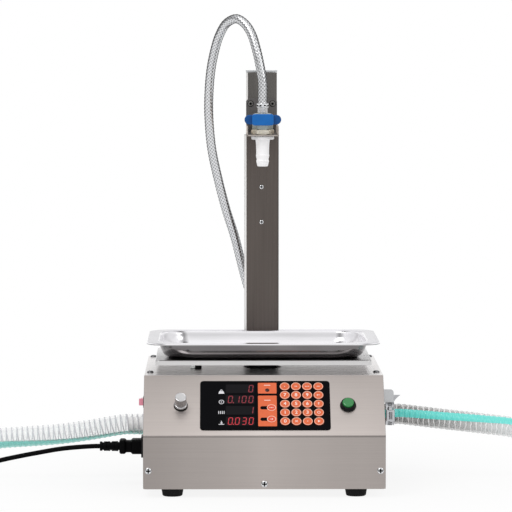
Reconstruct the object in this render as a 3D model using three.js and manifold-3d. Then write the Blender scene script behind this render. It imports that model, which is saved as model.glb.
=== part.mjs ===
// Bench-top liquid filling machine: a steel housing with a sloped control panel, a scale pan on a load
// cell, a telescoping column with an outlet valve and nozzle over the pan, a pump inside, and its hoses.
// Millimetres. X to the right, Y from the front to the back, Z up, the table at zero.
import * as THREE from 'three';
import { mergeVertices } from 'three/addons/utils/BufferGeometryUtils.js';
import Module from 'manifold-3d';

const wasm = await Module();
wasm.setup();

// Driving dimensions of the housing
const bodyWidth = 350;
const bodyDepth = 375;
const undersideHeight = 12.5;
const lowerFaceHeight = 76.5;
const slopeRun = 80;
const slopeRise = 80;
const sheet = 1.5;
const frontCorner = 3;

// Clearances: between pieces that seat on each other, round a shank, and past a cut
const gap = 0.3;
const holeClearance = 0.3;
const overrun = 2;

// Facets round a turned piece, large and small
const roundSides = 18;
const smallSides = 12;

// Planes that the driving dimensions set
const frontTop = undersideHeight + lowerFaceHeight;
const deckTop = frontTop + slopeRise;
const trayTop = undersideHeight + sheet;
const wallInside = bodyWidth / 2 - sheet;
const slopeAngle = Math.atan2(slopeRise, slopeRun);
const slopeLength = Math.hypot(slopeRun, slopeRise);
const slopeMiddle = slopeLength / 2;
const slopeEdgeDepth = slopeRun + sheet / Math.sin(slopeAngle);

// Housing details
const flangeWidth = 13;
const trayFlange = 14;
const trayFrontFlange = 36;
const coverFront = sheet + gap;
const coverTop = deckTop - sheet - gap;
const ventCount = 8;
const ventWidth = 3;
const ventHeight = 38;
const ventPitch = 9;
const ventBottom = 58;
const ventInset = 55.5;

// Screws with a domed head
const screwHeadRadius = 5;
const screwHeadHeight = 2.6;
const screwRimShare = 0.45;
const screwCrownShare = 0.55;
const screwShankRadius = 2;
const screwSides = 8;
const frontScrewInset = 7.5;
const sideScrewHeight = 39;
const middleScrewHeight = 20;
const deckScrewInset = 8;
const deckScrewFront = 123;
const deckScrewBackInset = 16;

// Rubber feet
const footTopRadius = 16;
const footBottomRadius = 14.5;
const footChamfer = 1.2;
const footSideInset = 42;
const footInset = 24;
const footSides = 16;

// Membrane keypad and display overlay on the slope
const overlayWidth = 189;
const overlayHeight = 90.5;
const overlayThickness = 1;
const overlayCorner = 5;
const overlayMiddle = 1.5;
const keyRadius = 7.2;
const keyRise = 0.5;
const keyPitch = 16.2;
const keyColumns = 4;
const keyRows = 5;
const keySides = 8;
const keyBlockMiddle = 54.8;
const keyBlockRise = 2.3;
const fieldWidth = 27.2;
const fieldRise = 0.25;
const fieldMiddle = 4.8;
const upperFieldHeight = 19.9;
const lowerFieldHeight = 56.6;
const upperFieldCenter = 88;
const lowerFieldCenter = 45.9;
const windowWidth = 41.6;
const windowHeight = 16;
const windowPitch = 20;
const windowCount = 4;
const windowRecess = 0.3;
const windowMiddle = -34.9;
const windowRise = 0.5;

// Control board behind the slope
const boardWidth = 150;
const boardHeight = 76;
const boardThickness = 1.6;
const standoffLength = 11;
const standoffRadius = 3;
const standoffInset = 5;
const displayBlockHeight = 78;
const displayBlockWidth = 44;
const displayBlockDepth = 8;

// Metal knob and its potentiometer
const knobSpacing = 28;
const knobX = overlayMiddle - overlayWidth / 2 - knobSpacing;
const knobRadius = 8.5;
const knobFlangeRadius = 9.5;
const knobFlangeHeight = 3.2;
const knobHeight = 18.5;
const knobFlutes = 20;
const knobFluteDepth = 0.6;
const knobChamfer = 1;
const gasketRadius = 10.2;
const gasketHeight = 1.4;
const shaftRadius = 3;
const shaftLength = 14;
const bushingRadius = 3.5;
const potRadius = 8.5;
const potDepth = 10;

// Push button: green cap in a black bezel
const buttonSpacing = 26;
const buttonX = overlayMiddle + overlayWidth / 2 + buttonSpacing;
const bezelRadius = 11.8;
const bezelHeight = 6;
const bezelChamfer = 1.6;
const buttonBodyRadius = 8.6;
const buttonBodyLength = 24;
const capRadius = 8.4;
const capProud = 3.2;
const capDome = 1.4;
const capDomeShares = [[0.85, 0.35], [0.5, 0]];
const capTravel = 3;
const capWell = 5;

// Red rocker switch on the left wall
const rockerY = 120;
const rockerZ = 126;
const rockerHalfLength = 7.2;
const rockerHalfHeight = 5;
const rockerTop = 7.6;
const rockerDip = 0.9;
const rockerDepth = 4;
const rockerFootShare = 0.6;
const rockerTilt = THREE.MathUtils.degToRad(12);
const rockerWall = 1.1;
const rockerFlangeOverlap = 1.5;
const rockerFlangeThickness = 2;
const rockerBodyDepth = 15;

// Mains inlet on the left wall and the connector in it
const inletY = 120;
const inletZ = 60;
const inletFlangeHeight = 31;
const inletFlangeWidth = 34;
const inletFlangeThickness = 3;
const inletBodyDepth = 22;
const inletWall = 2;
const inletCorner = 3;
const socketHeight = 16;
const socketWidth = 24;
const socketDepth = 15;
const connectorHeight = 21.5;
const connectorWidth = 28;
const connectorLength = 34;
const connectorCorner = 3;
const connectorSections = [[0, 1], [15, 1], [17, 0.78], [24, 0.78], [26, 0.97], [32.5, 0.97], [34, 0.8]];
const reliefLength = 29;
const reliefRadius = 7.5;
const reliefTipRadius = 6.9;
const reliefRibs = 5;
const reliefSides = 8;
const reliefGroove = 1.1;
const reliefGrooveShares = [0.2, 0.55, 0.7];

// Weighing: load cell, pedestal, spacer, support plate and pan
const panWidth = 345;
const panDepth = 238;
const panCorner = 36;
const panLift = 20;
const panFloorHeight = deckTop + panLift;
const panHeight = 26;
const panColumnGap = 5;
const panRim = 14;
const panWallRun = 14;
const panLip = 3;
const panSheet = 1;
const panCornerSteps = 6;
const panWallShares = [[0.75, 0.12], [0.35, 0.5]];
const supportWidth = 319;
const supportDepth = 200;
const supportLip = 7.3;
const supportSheet = 2;
const supportCorner = 6;
const cellLength = 130;
const cellWidth = 30;
const cellHeight = 22;
const cellEndInset = 18;
const cellBore = 7;
const cellBoreSpacing = 26;
const cellSlot = 3;
const spacerWidth = 40;
const spacerDepth = 28;
const spacerHeight = 28.1;
const pedestalWidth = 34;
const pedestalDepth = 32;
const pedestalSheet = 3;
const deckOpeningWidth = 57;
const deckOpeningDepth = 46;
const levelWindowWidth = 14.5;
const levelWindowDepth = 10;
const levelWindowX = -99.8;
const levelWindowLead = 24;
const levelWidth = 16.5;
const levelDepth = 12;
const levelHeight = 4;
const levelDrop = 2;

// Telescoping column
const columnInset = 20;
const columnWidth = 53;
const columnDepth = 27;
const columnWall = 2.5;
const columnCorner = 4;
const columnTop = 514;
const mastClearance = 0.5;
const mastWall = 1.5;
const mastCorner = 2;
const mastTop = 609.5;
const mastBottom = 245;
const mastCapHeight = 3.2;
const mastCapOverhang = 1.2;
const mastPlugDepth = 8;
const lockScrewRadius = 3.6;
const lockScrewHeadHeight = 2.6;
const lockScrewRimShare = 0.6;
const lockScrewCrownShare = 0.7;
const lockScrewShank = 1.9;
const upperLockDrop = 80;
const lowerLockDrop = 134;

// Bracket that carries the outlet over the pan
const bracketSheet = 2;
const bracketWidth = 47.5;
const bracketHeight = 56.5;
const bracketChamfer = 5;
const armWidth = 48;
const armBaseRise = 2;
const armFlangeHeight = 15;
const armFrontReach = 20;
const armChamfer = 8;
const bracketBoltSpacing = 33.6;
const bracketBoltDrop = 9;
const boltHeadRadius = 4.2;
const boltHeadHeight = 3.4;
const boltRimShare = 0.75;
const boltCrownShare = 0.85;
const boltShankRadius = 2.5;

// Outlet valve, its handle and nozzle
const shankRadius = 8;
const shankDrop = 10;
const lockNutFlats = 30;
const lockNutHeight = 7.2;
const valveRadius = 15;
const valveHeight = 24;
const valveSides = 8;
const valveBallHeightShare = 0.62;
const valveBore = 3.5;
const ballRadius = 6.5;
const stemRadius = 3.2;
const bossRadius = 7;
const bossClearance = 0.9;
const barbRadius = 5;
const barbLength = 12;
const ferruleRadius = 7.9;
const ferruleLength = 14.5;
const ferruleBead = 0.9;
const ferruleBeadLength = 3;
const ferruleBeadShares = [0.8, 0.2];
const handleLength = 54.7;
const handleHeight = 17;
const earHeight = 14.4;
const earThickness = 4.6;
const bandLength = 32;
const bandThickness = 7;
const handleBevel = 1.2;
const handleSocketDepth = 7;
const nozzleFlangeRadius = 16.75;
const nozzleFlangeHeight = 5;
const nozzleNeckRadius = 10.7;
const nozzleTipRadius = 8.7;
const nozzleLength = 45.4;
const nozzleBarbRise = 0.9;
const nozzleBarbLength = 3;
const nozzleBarbPitch = 8.5;
const nozzleBore = 5;
const nozzleSocketDepth = 11;

// Liquid side inside the housing
const pumpX = 0;
const pumpZ = 72;
const pumpHeadWidth = 64;
const pumpHeadDepth = 52;
const pumpHeadHeight = 84;
const pumpHeadCorner = 8;
const motorRadius = 31;
const motorLength = 92;
const motorBearingRadius = 9;
const motorBearingLength = 6;
const saddleSheet = 2;
const saddleMargin = 7;
const saddleInset = 14;
const innerTubeRadius = 14.5;
const innerTubeWall = 2;
const leftPortZ = 83;
const rightPortZ = 98;
const portShare = 8 / 15;
const portFlangeRadius = 15.5;
const portFlangeHeight = 3;
const portNeckRadius = 11;
const portBore = 8;
const portBarbLength = 24;
const portInnerReach = 20;
const outletRadius = 6;
const outletNutFlats = 16;
const outletNutHeight = 6;
const outletNeckRadius = 4.5;
const outletFerruleLength = 18;
const outletInnerDrop = 18;
const outletClearance = 21.5;
const outletRunHeight = 34;
const outletSide = 20;

// Power supply on the tray
const supplyClearance = 9;
const supplyDepth = 128;
const supplyHeight = 38;
const supplyInset = 5;
const terminalDepth = 16;
const terminalDrop = 14;
const terminalWall = 2;

// Clear spiral hoses at the sides
const hoseRadius = 15.5;
const hoseRootRadius = 14;
const hoseBoreRadius = 12.4;
const hoseSides = 8;
const ribPitch = 15.5;
const ribsPerBoreRing = 2;

// Worm clamp on the right hose and the port bracket above it
const clampWidth = 13;
const clampBand = 1.1;
const clampStart = 6;
const wormLength = 17;
const wormDepth = 7;
const wormScrewRadius = 2.6;
const wormHeadRadius = 4;
const wormHeadHeight = 4;
const tailLength = 11.9;
const tailLean = 10;
const tailFlareShare = 0.3;
const tailThickness = 1;
const portBracketReach = 22;
const portBracketHeight = 20;
const portBracketCorner = 6;
const portBracketFoot = 14;

// Mains lead, its coil and plug
const leadRadius = 3.5;
const leadSides = 8;
const coilSides = 6;
const coilSteps = 24;
const coilTurnsPerLayer = 2.5;
const coilMiddleRadius = 38;
const coilPitch = 7.7;
const coilLayerPitch = 7.7;
const coilTail = 36;
const coilClimbTurns = 0.25;
const coilX = -560;
const coilY = 64;
const plugWidth = 26;
const plugHeight = 22;
const plugWaistShare = 0.38;
const plugLength = 34;
const plugCorner = 5;
const plugReliefLength = 20;
const bladeLength = 17;
const bladeThickness = 1.5;
const bladeWidth = 6.3;
const bladeSpacing = 12.7;
const bladeDrop = 4;
const earthPinRadius = 2.3;
const earthPinRise = 6;

// Places that follow from the sizes above
const columnY = bodyDepth - columnInset - columnDepth;
const panCenterY = columnY - panColumnGap - panDepth / 2;
const supportUnderside = panFloorHeight - gap - supportSheet;
const cellTop = supportUnderside - 2 * gap - spacerHeight;
const supplyLeftX = -wallInside + sheet + supplyInset;
const outletTurnX = -(columnWidth / 2 + outletClearance + outletRadius);
const supplyWidth = outletTurnX - outletRadius - supplyClearance - supplyLeftX;
const portY = bodyDepth * portShare;

// Materials as colour, roughness and metalness
const brushedSteel = { color: 0xb5aea6, roughness: 0.38, metalness: 1 };
const darkSteel = { color: 0x6b6661, roughness: 0.35, metalness: 1 };
const brightSteel = { color: 0xd9dadb, roughness: 0.16, metalness: 1 };
const zincSteel = { color: 0xc4c6c8, roughness: 0.3, metalness: 1 };
const blackPlastic = { color: 0x17181a, roughness: 0.45, metalness: 0 };
const blackRubber = { color: 0x1b1b1c, roughness: 0.85, metalness: 0 };
const greenPlastic = { color: 0x1f8f3d, roughness: 0.3, metalness: 0 };
const redPlastic = { color: 0xc8283c, roughness: 0.4, metalness: 0 };
const bluePlastic = { color: 0x1f64b0, roughness: 0.45, metalness: 0 };
const whitePlastic = { color: 0xf2f3f3, roughness: 0.4, metalness: 0 };
const clearHose = { color: 0xdfe8e8, roughness: 0.25, metalness: 0 };
const greenBoard = { color: 0x1d5b36, roughness: 0.5, metalness: 0 };
const brass = { color: 0xb98b45, roughness: 0.3, metalness: 1 };
const castGrey = { color: 0x8c8f92, roughness: 0.5, metalness: 1 };
const aluminium = { color: 0xc9cacb, roughness: 0.3, metalness: 1 };

// Shapes and booleans

function toSolid(geometry) {
  const bare = geometry.clone();
  bare.deleteAttribute('normal');
  bare.deleteAttribute('uv');
  const merged = mergeVertices(bare);
  const corners = merged.index.array;
  const kept = [];
  for (let i = 0; i < corners.length; i += 3) {
    const [a, b, c] = [corners[i], corners[i + 1], corners[i + 2]];
    if (a !== b && b !== c && c !== a) kept.push(a, b, c);
  }
  return new wasm.Manifold(new wasm.Mesh({
    numProp: 3,
    vertProperties: new Float32Array(merged.attributes.position.array),
    triVerts: new Uint32Array(kept),
  }));
}

function toGeometry(solid) {
  const mesh = solid.getMesh();
  const geometry = new THREE.BufferGeometry();
  geometry.setAttribute('position', new THREE.BufferAttribute(mesh.vertProperties, 3));
  geometry.setIndex(new THREE.BufferAttribute(mesh.triVerts, 1));
  return geometry;
}

function carve(added, removed = []) {
  let solid = toSolid(added[0]);
  for (const piece of added.slice(1)) solid = solid.add(toSolid(piece));
  for (const tool of removed) solid = solid.subtract(toSolid(tool));
  return toGeometry(solid);
}

function boxBetween(low, high) {
  const size = high.map((value, axis) => value - low[axis]);
  const middle = high.map((value, axis) => (value + low[axis]) / 2);
  return new THREE.BoxGeometry(...size).translate(...middle);
}

// A solid turned about Z from pairs of radius and height, bottom first
function turned(profile, sides = roundSides) {
  const points = profile.map(([radius, height]) => new THREE.Vector2(radius, height));
  return new THREE.LatheGeometry(points, sides).rotateX(Math.PI / 2);
}

function rod(radius, low, high, sides = roundSides) {
  return turned([[0, low], [radius, low], [radius, high], [0, high]], sides);
}

function ring(outer, inner, low, high, sides = roundSides) {
  return turned([[inner, low], [outer, low], [outer, high], [inner, high], [inner, low]], sides);
}

function facingLeft(geometry) {
  return geometry.rotateY(-Math.PI / 2);
}

function facingRight(geometry) {
  return geometry.rotateY(Math.PI / 2);
}

function facingFront(geometry) {
  return geometry.rotateX(Math.PI / 2);
}

function roundedRectangle(width, depth, radius) {
  const shape = new THREE.Shape();
  const [x, y] = [width / 2, depth / 2];
  shape.moveTo(radius - x, -y);
  shape.lineTo(x - radius, -y);
  shape.absarc(x - radius, radius - y, radius, -Math.PI / 2, 0);
  shape.lineTo(x, y - radius);
  shape.absarc(x - radius, y - radius, radius, 0, Math.PI / 2);
  shape.lineTo(radius - x, y);
  shape.absarc(radius - x, y - radius, radius, Math.PI / 2, Math.PI);
  shape.lineTo(-x, radius - y);
  shape.absarc(radius - x, radius - y, radius, Math.PI, 1.5 * Math.PI);
  return shape;
}

function polygon(points) {
  return new THREE.Shape(points.map(([x, y]) => new THREE.Vector2(x, y)));
}

function regular(sides, flats, turn = 0) {
  const radius = flats / 2 / Math.cos(Math.PI / sides);
  const corner = (i) => ((i + turn) * 2 * Math.PI) / sides;
  return polygon(
    Array.from({ length: sides }, (_, i) => [radius * Math.cos(corner(i)), radius * Math.sin(corner(i))]),
  );
}

function extruded(shape, low, high, curveSegments = 4) {
  const options = { depth: high - low, bevelEnabled: false, curveSegments };
  return new THREE.ExtrudeGeometry(shape, options).translate(0, 0, low);
}

// An outline of depth and height, extruded across the width
function acrossWidth(points, width) {
  const turn = new THREE.Matrix4().makeBasis(
    new THREE.Vector3(0, 1, 0),
    new THREE.Vector3(0, 0, 1),
    new THREE.Vector3(1, 0, 0),
  );
  return extruded(polygon(points), -width / 2, width / 2).applyMatrix4(turn);
}

function smoothPath(route) {
  const places = route.map((place) => new THREE.Vector3(...place));
  return new THREE.CatmullRomCurve3(places, false, 'centripetal');
}

function tubeAlong(route, radius, sides, steps) {
  const section = regular(sides, 2 * radius * Math.cos(Math.PI / sides));
  return new THREE.ExtrudeGeometry(section, { steps, extrudePath: smoothPath(route), bevelEnabled: false });
}

// Groups: the whole machine, and the plane of the slope with Y up the slope and Z out of it

const machine = new THREE.Group();
const slope = new THREE.Group();
slope.position.set(0, 0, frontTop);
slope.rotation.x = slopeAngle;
machine.add(slope);

function add(parent, name, geometry, look, place = [0, 0, 0]) {
  const mesh = new THREE.Mesh(geometry, new THREE.MeshStandardMaterial(look));
  mesh.name = name;
  mesh.position.set(...place);
  parent.add(mesh);
  return mesh;
}

function onSlope(geometry) {
  return geometry.rotateX(slopeAngle).translate(0, 0, frontTop);
}

// Housing

const sideScrewX = bodyWidth / 2 - frontScrewInset;
const frontScrews = [
  { name: 'front_screw_left', x: -sideScrewX, z: sideScrewHeight },
  { name: 'front_screw_right', x: sideScrewX, z: sideScrewHeight },
  { name: 'front_screw_middle', x: 0, z: middleScrewHeight },
];
const screwHole = screwShankRadius + holeClearance;
const deckScrewX = bodyWidth / 2 - deckScrewInset;
const deckScrewPlaces = [];
for (const x of [-deckScrewX, deckScrewX]) {
  for (const y of [deckScrewFront, bodyDepth - deckScrewBackInset]) deckScrewPlaces.push([x, y]);
}
const screwShankLength = 3 * sheet + 2 * gap;

function screw(shankLength) {
  return turned([
    [0, -shankLength],
    [screwShankRadius, -shankLength],
    [screwShankRadius, 0],
    [screwHeadRadius, 0],
    [screwHeadRadius, screwHeadHeight * screwRimShare],
    [screwHeadRadius * screwCrownShare, screwHeadHeight],
    [0, screwHeadHeight],
  ], screwSides);
}

function frontScrewHoles() {
  return frontScrews.map(({ x, z }) => {
    const reach = screwShankLength + overrun;
    return facingFront(rod(screwHole, -reach, overrun, screwSides)).translate(x, 0, z);
  });
}

// What a rounded lower corner of the front leaves out
function cornerCut(side) {
  const [edge, low] = [side * (bodyWidth / 2), undersideHeight];
  const outline = new THREE.Shape();
  outline.moveTo(edge + side * overrun, low - overrun);
  outline.lineTo(edge + side * overrun, low + frontCorner);
  outline.lineTo(edge, low + frontCorner);
  const [from, to] = side < 0 ? [Math.PI, 1.5 * Math.PI] : [0, -Math.PI / 2];
  outline.absarc(edge - side * frontCorner, low + frontCorner, frontCorner, from, to, side > 0);
  outline.lineTo(edge - side * frontCorner, low - overrun);
  return extruded(outline, -sheet - overrun, overrun, 4).rotateX(Math.PI / 2);
}

function frontPanel() {
  const bend = (Math.PI / 2 - slopeAngle) / 2;
  const sheetSolid = acrossWidth([
    [0, undersideHeight],
    [0, frontTop],
    [slopeRun, deckTop],
    [slopeEdgeDepth, deckTop],
    [sheet, frontTop - sheet * Math.tan(bend)],
    [sheet, undersideHeight],
  ], bodyWidth);
  const through = [-sheet - overrun, overrun];
  const roundHole = (radius, x) => rod(radius + holeClearance, ...through, smallSides)
    .translate(x, slopeMiddle, 0);
  const halfWindow = displayBlockWidth / 2 + holeClearance;
  const halfWindowHeight = displayBlockHeight / 2 + holeClearance;
  const displayHole = boxBetween(
    [windowMiddle - halfWindow, slopeMiddle - halfWindowHeight, through[0]],
    [windowMiddle + halfWindow, slopeMiddle + halfWindowHeight, through[1]],
  );
  const slopeHoles = [roundHole(bushingRadius, knobX), roundHole(buttonBodyRadius, buttonX), displayHole];
  const frontHoles = [...frontScrewHoles(), ...slopeHoles.map(onSlope)];
  return carve([sheetSolid], [...frontHoles, cornerCut(-1), cornerCut(1)]);
}

function baseTray() {
  const [x, front, back] = [wallInside - gap, coverFront, bodyDepth - sheet - gap];
  const floor = boxBetween([-x, front, undersideHeight], [x, back, trayTop]);
  const frontFlange = boxBetween(
    [-x, front, undersideHeight],
    [x, front + sheet, undersideHeight + trayFrontFlange],
  );
  const backFlange = boxBetween(
    [-x, back - sheet, undersideHeight],
    [x, back, undersideHeight + trayFlange],
  );
  const sides = [-x, x - sheet].map((edge) => boxBetween(
    [edge, front, undersideHeight],
    [edge + sheet, back, undersideHeight + trayFlange],
  ));
  return carve([floor, frontFlange, backFlange, ...sides], frontScrewHoles());
}

function ventSlots() {
  return Array.from({ length: ventCount }, (_, i) => {
    const x = ventInset - wallInside + (i - (ventCount - 1) / 2) * ventPitch;
    return boxBetween(
      [x - ventWidth / 2, bodyDepth - sheet - overrun, ventBottom],
      [x + ventWidth / 2, bodyDepth + overrun, ventBottom + ventHeight],
    );
  });
}

function wallHoles() {
  const [inner, outer] = [wallInside - overrun, bodyWidth / 2 + overrun];
  const rockerHalf = [rockerBodyHalfLength + holeClearance, rockerBodyHalfHeight + holeClearance];
  const inletHalf = [inletBodyWidth / 2 + holeClearance, inletBodyHeight / 2 + holeClearance];
  const left = (y, z, half) => boxBetween(
    [-outer, y - half[0], z - half[1]],
    [-inner, y + half[0], z + half[1]],
  );
  const port = portNeckRadius + holeClearance;
  return [
    left(rockerY, rockerZ, rockerHalf),
    left(inletY, inletZ, inletHalf),
    facingLeft(rod(port, inner, outer)).translate(0, portY, leftPortZ),
    facingRight(rod(port, inner, outer)).translate(0, portY, rightPortZ),
  ];
}

function wrapCover() {
  const [x, inside] = [bodyWidth / 2, wallInside];
  const walls = extruded(polygon([
    [-x, coverFront], [-x, bodyDepth], [x, bodyDepth], [x, coverFront],
    [inside, coverFront], [inside, bodyDepth - sheet], [-inside, bodyDepth - sheet], [-inside, coverFront],
  ]), undersideHeight, coverTop);
  const flangeSpan = [coverTop - sheet, coverTop];
  const flangeEdge = inside - flangeWidth;
  const flanges = [[-inside, -flangeEdge], [flangeEdge, inside]].map(([low, high]) => boxBetween(
    [low - (low < 0 ? sheet / 2 : 0), slopeRun, flangeSpan[0]],
    [high + (high > 0 ? sheet / 2 : 0), bodyDepth - sheet / 2, flangeSpan[1]],
  ));
  const reach = slopeLength + bodyDepth;
  const overSlope = onSlope(boxBetween([-bodyWidth, -reach, -sheet - gap], [bodyWidth, reach, reach]));
  const through = [coverTop - sheet - overrun, coverTop + overrun];
  const screwHoles = deckScrewPlaces.map(
    ([holeX, holeY]) => rod(screwHole, ...through, screwSides).translate(holeX, holeY, 0),
  );
  return carve([walls, ...flanges], [overSlope, ...ventSlots(), ...wallHoles(), ...screwHoles]);
}

function columnOutline(spread = 0) {
  return roundedRectangle(columnWidth + 2 * spread, columnDepth + 2 * spread, columnCorner + spread);
}

const columnMiddleY = columnY + columnDepth / 2;
const outletY = columnY + columnDepth + gap + outletNutFlats / 2;

const levelWindowY = panCenterY - levelWindowLead;

function deckPlate() {
  const plate = boxBetween(
    [-bodyWidth / 2, slopeEdgeDepth + gap, deckTop - sheet],
    [bodyWidth / 2, bodyDepth, deckTop],
  );
  const screws = deckScrewPlaces.map(([x, y]) => screw(screwShankLength).translate(x, y, deckTop));
  const through = [deckTop - sheet - overrun, deckTop + overrun];
  const opening = roundedRectangle(deckOpeningWidth, deckOpeningDepth, deckOpeningDepth / 2);
  const holes = [
    extruded(opening, ...through, 6).translate(0, panCenterY, 0),
    extruded(columnOutline(holeClearance), ...through).translate(0, columnMiddleY, 0),
    rod(outletNeckRadius + holeClearance, ...through, smallSides).translate(0, outletY, 0),
    boxBetween(
      [levelWindowX - levelWindowWidth / 2, levelWindowY - levelWindowDepth / 2, through[0]],
      [levelWindowX + levelWindowWidth / 2, levelWindowY + levelWindowDepth / 2, through[1]],
    ),
  ];
  return carve([plate, ...screws], holes);
}

// Bubble level that fills its window in the deck
function bubbleLevel() {
  const halfWidth = levelWindowWidth / 2 - holeClearance;
  const halfDepth = levelWindowDepth / 2 - holeClearance;
  const stem = boxBetween(
    [-halfWidth, -halfDepth, -sheet - levelDrop],
    [halfWidth, halfDepth, gap + overrun],
  );
  const top = boxBetween(
    [-levelWidth / 2, -levelDepth / 2, gap],
    [levelWidth / 2, levelDepth / 2, gap + levelHeight],
  );
  return carve([stem, top]);
}

function foot() {
  const height = undersideHeight - gap;
  return turned([
    [0, 0],
    [footBottomRadius - footChamfer, 0],
    [footBottomRadius, footChamfer],
    [footTopRadius, height],
    [0, height],
  ], footSides);
}

function addFeet() {
  const places = [['front', footInset], ['rear', bodyDepth - footInset]];
  const x = bodyWidth / 2 - footSideInset;
  for (const [where, y] of places) {
    add(machine, `${where}_left_foot`, foot(), blackRubber, [-x, y, 0]);
    add(machine, `${where}_right_foot`, foot(), blackRubber, [x, y, 0]);
  }
}

// Controls on the slope

function keypadOverlay() {
  const film = extruded(roundedRectangle(overlayWidth, overlayHeight, overlayCorner), 0, overlayThickness)
    .translate(overlayMiddle, slopeMiddle, 0);
  const raised = [];
  for (let column = 0; column < keyColumns; column += 1) {
    for (let row = 0; row < keyRows; row += 1) {
      const x = keyBlockMiddle + (column - (keyColumns - 1) / 2) * keyPitch;
      const y = slopeMiddle + (row - (keyRows - 1) / 2) * keyPitch + keyBlockRise;
      const key = rod(keyRadius, overlayThickness / 2, overlayThickness + keyRise, keySides);
      raised.push(key.translate(x, y, 0));
    }
  }
  const fields = [
    [upperFieldCenter, upperFieldHeight],
    [lowerFieldCenter, lowerFieldHeight],
  ];
  for (const [center, height] of fields) {
    raised.push(boxBetween(
      [fieldMiddle - fieldWidth / 2, center - height / 2, overlayThickness / 2],
      [fieldMiddle + fieldWidth / 2, center + height / 2, overlayThickness + fieldRise],
    ));
  }
  const windows = Array.from({ length: windowCount }, (_, i) => {
    const y = slopeMiddle + (i - (windowCount - 1) / 2) * windowPitch + windowRise;
    return boxBetween(
      [windowMiddle - windowWidth / 2, y - windowHeight / 2, overlayThickness - windowRecess],
      [windowMiddle + windowWidth / 2, y + windowHeight / 2, overlayThickness + overrun],
    );
  });
  return carve([film, ...raised], windows);
}

function controlBoard() {
  const top = -sheet - standoffLength;
  const board = boxBetween(
    [overlayMiddle - boardWidth / 2, slopeMiddle - boardHeight / 2, top - boardThickness],
    [overlayMiddle + boardWidth / 2, slopeMiddle + boardHeight / 2, top],
  );
  const standoffs = [];
  for (const side of [-1, 1]) {
    for (const end of [-1, 1]) {
      const x = overlayMiddle + side * (boardWidth / 2 - standoffInset);
      const y = slopeMiddle + end * (boardHeight / 2 - standoffInset);
      standoffs.push(rod(standoffRadius, top - boardThickness / 2, -sheet - gap, 8).translate(x, y, 0));
    }
  }
  const halfHeight = displayBlockHeight / 2;
  const displays = boxBetween(
    [windowMiddle - displayBlockWidth / 2, slopeMiddle - halfHeight, top - boardThickness / 2],
    [windowMiddle + displayBlockWidth / 2, slopeMiddle + halfHeight, top + displayBlockDepth],
  );
  return carve([board, displays, ...standoffs]);
}

function knob() {
  const base = gasketHeight + 2 * gap;
  const top = base + knobHeight;
  const flutes = polygon(Array.from({ length: 2 * knobFlutes }, (_, i) => {
    const radius = i % 2 === 0 ? knobRadius : knobRadius - knobFluteDepth;
    const angle = (i * Math.PI) / knobFlutes;
    return [radius * Math.cos(angle), radius * Math.sin(angle)];
  }));
  const flange = turned([
    [0, base],
    [knobFlangeRadius - knobChamfer / 2, base],
    [knobFlangeRadius, base + knobChamfer / 2],
    [knobFlangeRadius, base + knobFlangeHeight - knobChamfer],
    [knobRadius, base + knobFlangeHeight],
    [0, base + knobFlangeHeight],
  ]);
  const cap = turned([
    [0, top - knobChamfer - overrun],
    [knobRadius, top - knobChamfer - overrun],
    [knobRadius, top - knobChamfer],
    [knobRadius - knobChamfer, top],
    [0, top],
  ]);
  const bore = rod(shaftRadius + gap, base - overrun, shaftTop + gap, smallSides);
  return carve([extruded(flutes, base + knobFlangeHeight / 2, top - knobChamfer), flange, cap], [bore]);
}

const shaftTop = gasketHeight + 2 * gap + shaftLength;

function potentiometer() {
  return turned([
    [0, -sheet - gap - potDepth],
    [potRadius, -sheet - gap - potDepth],
    [potRadius, -sheet - gap],
    [bushingRadius, -sheet - gap],
    [bushingRadius, gasketHeight / 2],
    [shaftRadius, gasketHeight / 2],
    [shaftRadius, shaftTop],
    [0, shaftTop],
  ], smallSides);
}

function knobGasket() {
  return ring(gasketRadius, bushingRadius + gap, gap, gap + gasketHeight, smallSides);
}

function buttonBezel() {
  const floor = bezelHeight - capWell;
  return turned([
    [0, -sheet - buttonBodyLength],
    [buttonBodyRadius, -sheet - buttonBodyLength],
    [buttonBodyRadius, gap],
    [bezelRadius, gap],
    [bezelRadius, bezelHeight - bezelChamfer],
    [bezelRadius - bezelChamfer, bezelHeight],
    [capRadius + gap, bezelHeight],
    [capRadius + gap, floor],
    [0, floor],
  ]);
}

function buttonCap() {
  const low = bezelHeight - capWell + capTravel + gap;
  const high = bezelHeight + capProud;
  return turned([
    [0, low],
    [capRadius, low],
    [capRadius, high - capDome],
    ...capDomeShares.map(([across, drop]) => [capRadius * across, high - capDome * drop]),
    [0, high],
  ]);
}

// The rocker's outline of depth and height, square to its pivot at the wall's outer face
const rockerSweep = rockerHalfLength * Math.cos(rockerTilt) + rockerTop * Math.sin(rockerTilt) + gap;
const rockerFoot = rockerHalfLength * rockerFootShare;
const rockerWell = rockerDepth * Math.cos(rockerTilt) + rockerFoot * Math.sin(rockerTilt) + gap;
const rockerBodyHalfLength = rockerSweep + rockerWall;
const rockerBodyHalfHeight = rockerHalfHeight + gap + rockerWall;

function rockerFrame() {
  const halfLength = rockerBodyHalfLength + rockerFlangeOverlap;
  const halfHeight = rockerBodyHalfHeight + rockerFlangeOverlap;
  const flange = boxBetween(
    [-halfHeight, -halfLength, gap],
    [halfHeight, halfLength, gap + rockerFlangeThickness],
  );
  const body = boxBetween(
    [-rockerBodyHalfHeight, -rockerBodyHalfLength, -rockerBodyDepth],
    [rockerBodyHalfHeight, rockerBodyHalfLength, gap + rockerFlangeThickness / 2],
  );
  const recess = boxBetween(
    [-rockerHalfHeight - gap, -rockerSweep, -rockerWell],
    [rockerHalfHeight + gap, rockerSweep, gap + rockerFlangeThickness + overrun],
  );
  return carve([flange, body], [recess]);
}

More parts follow.
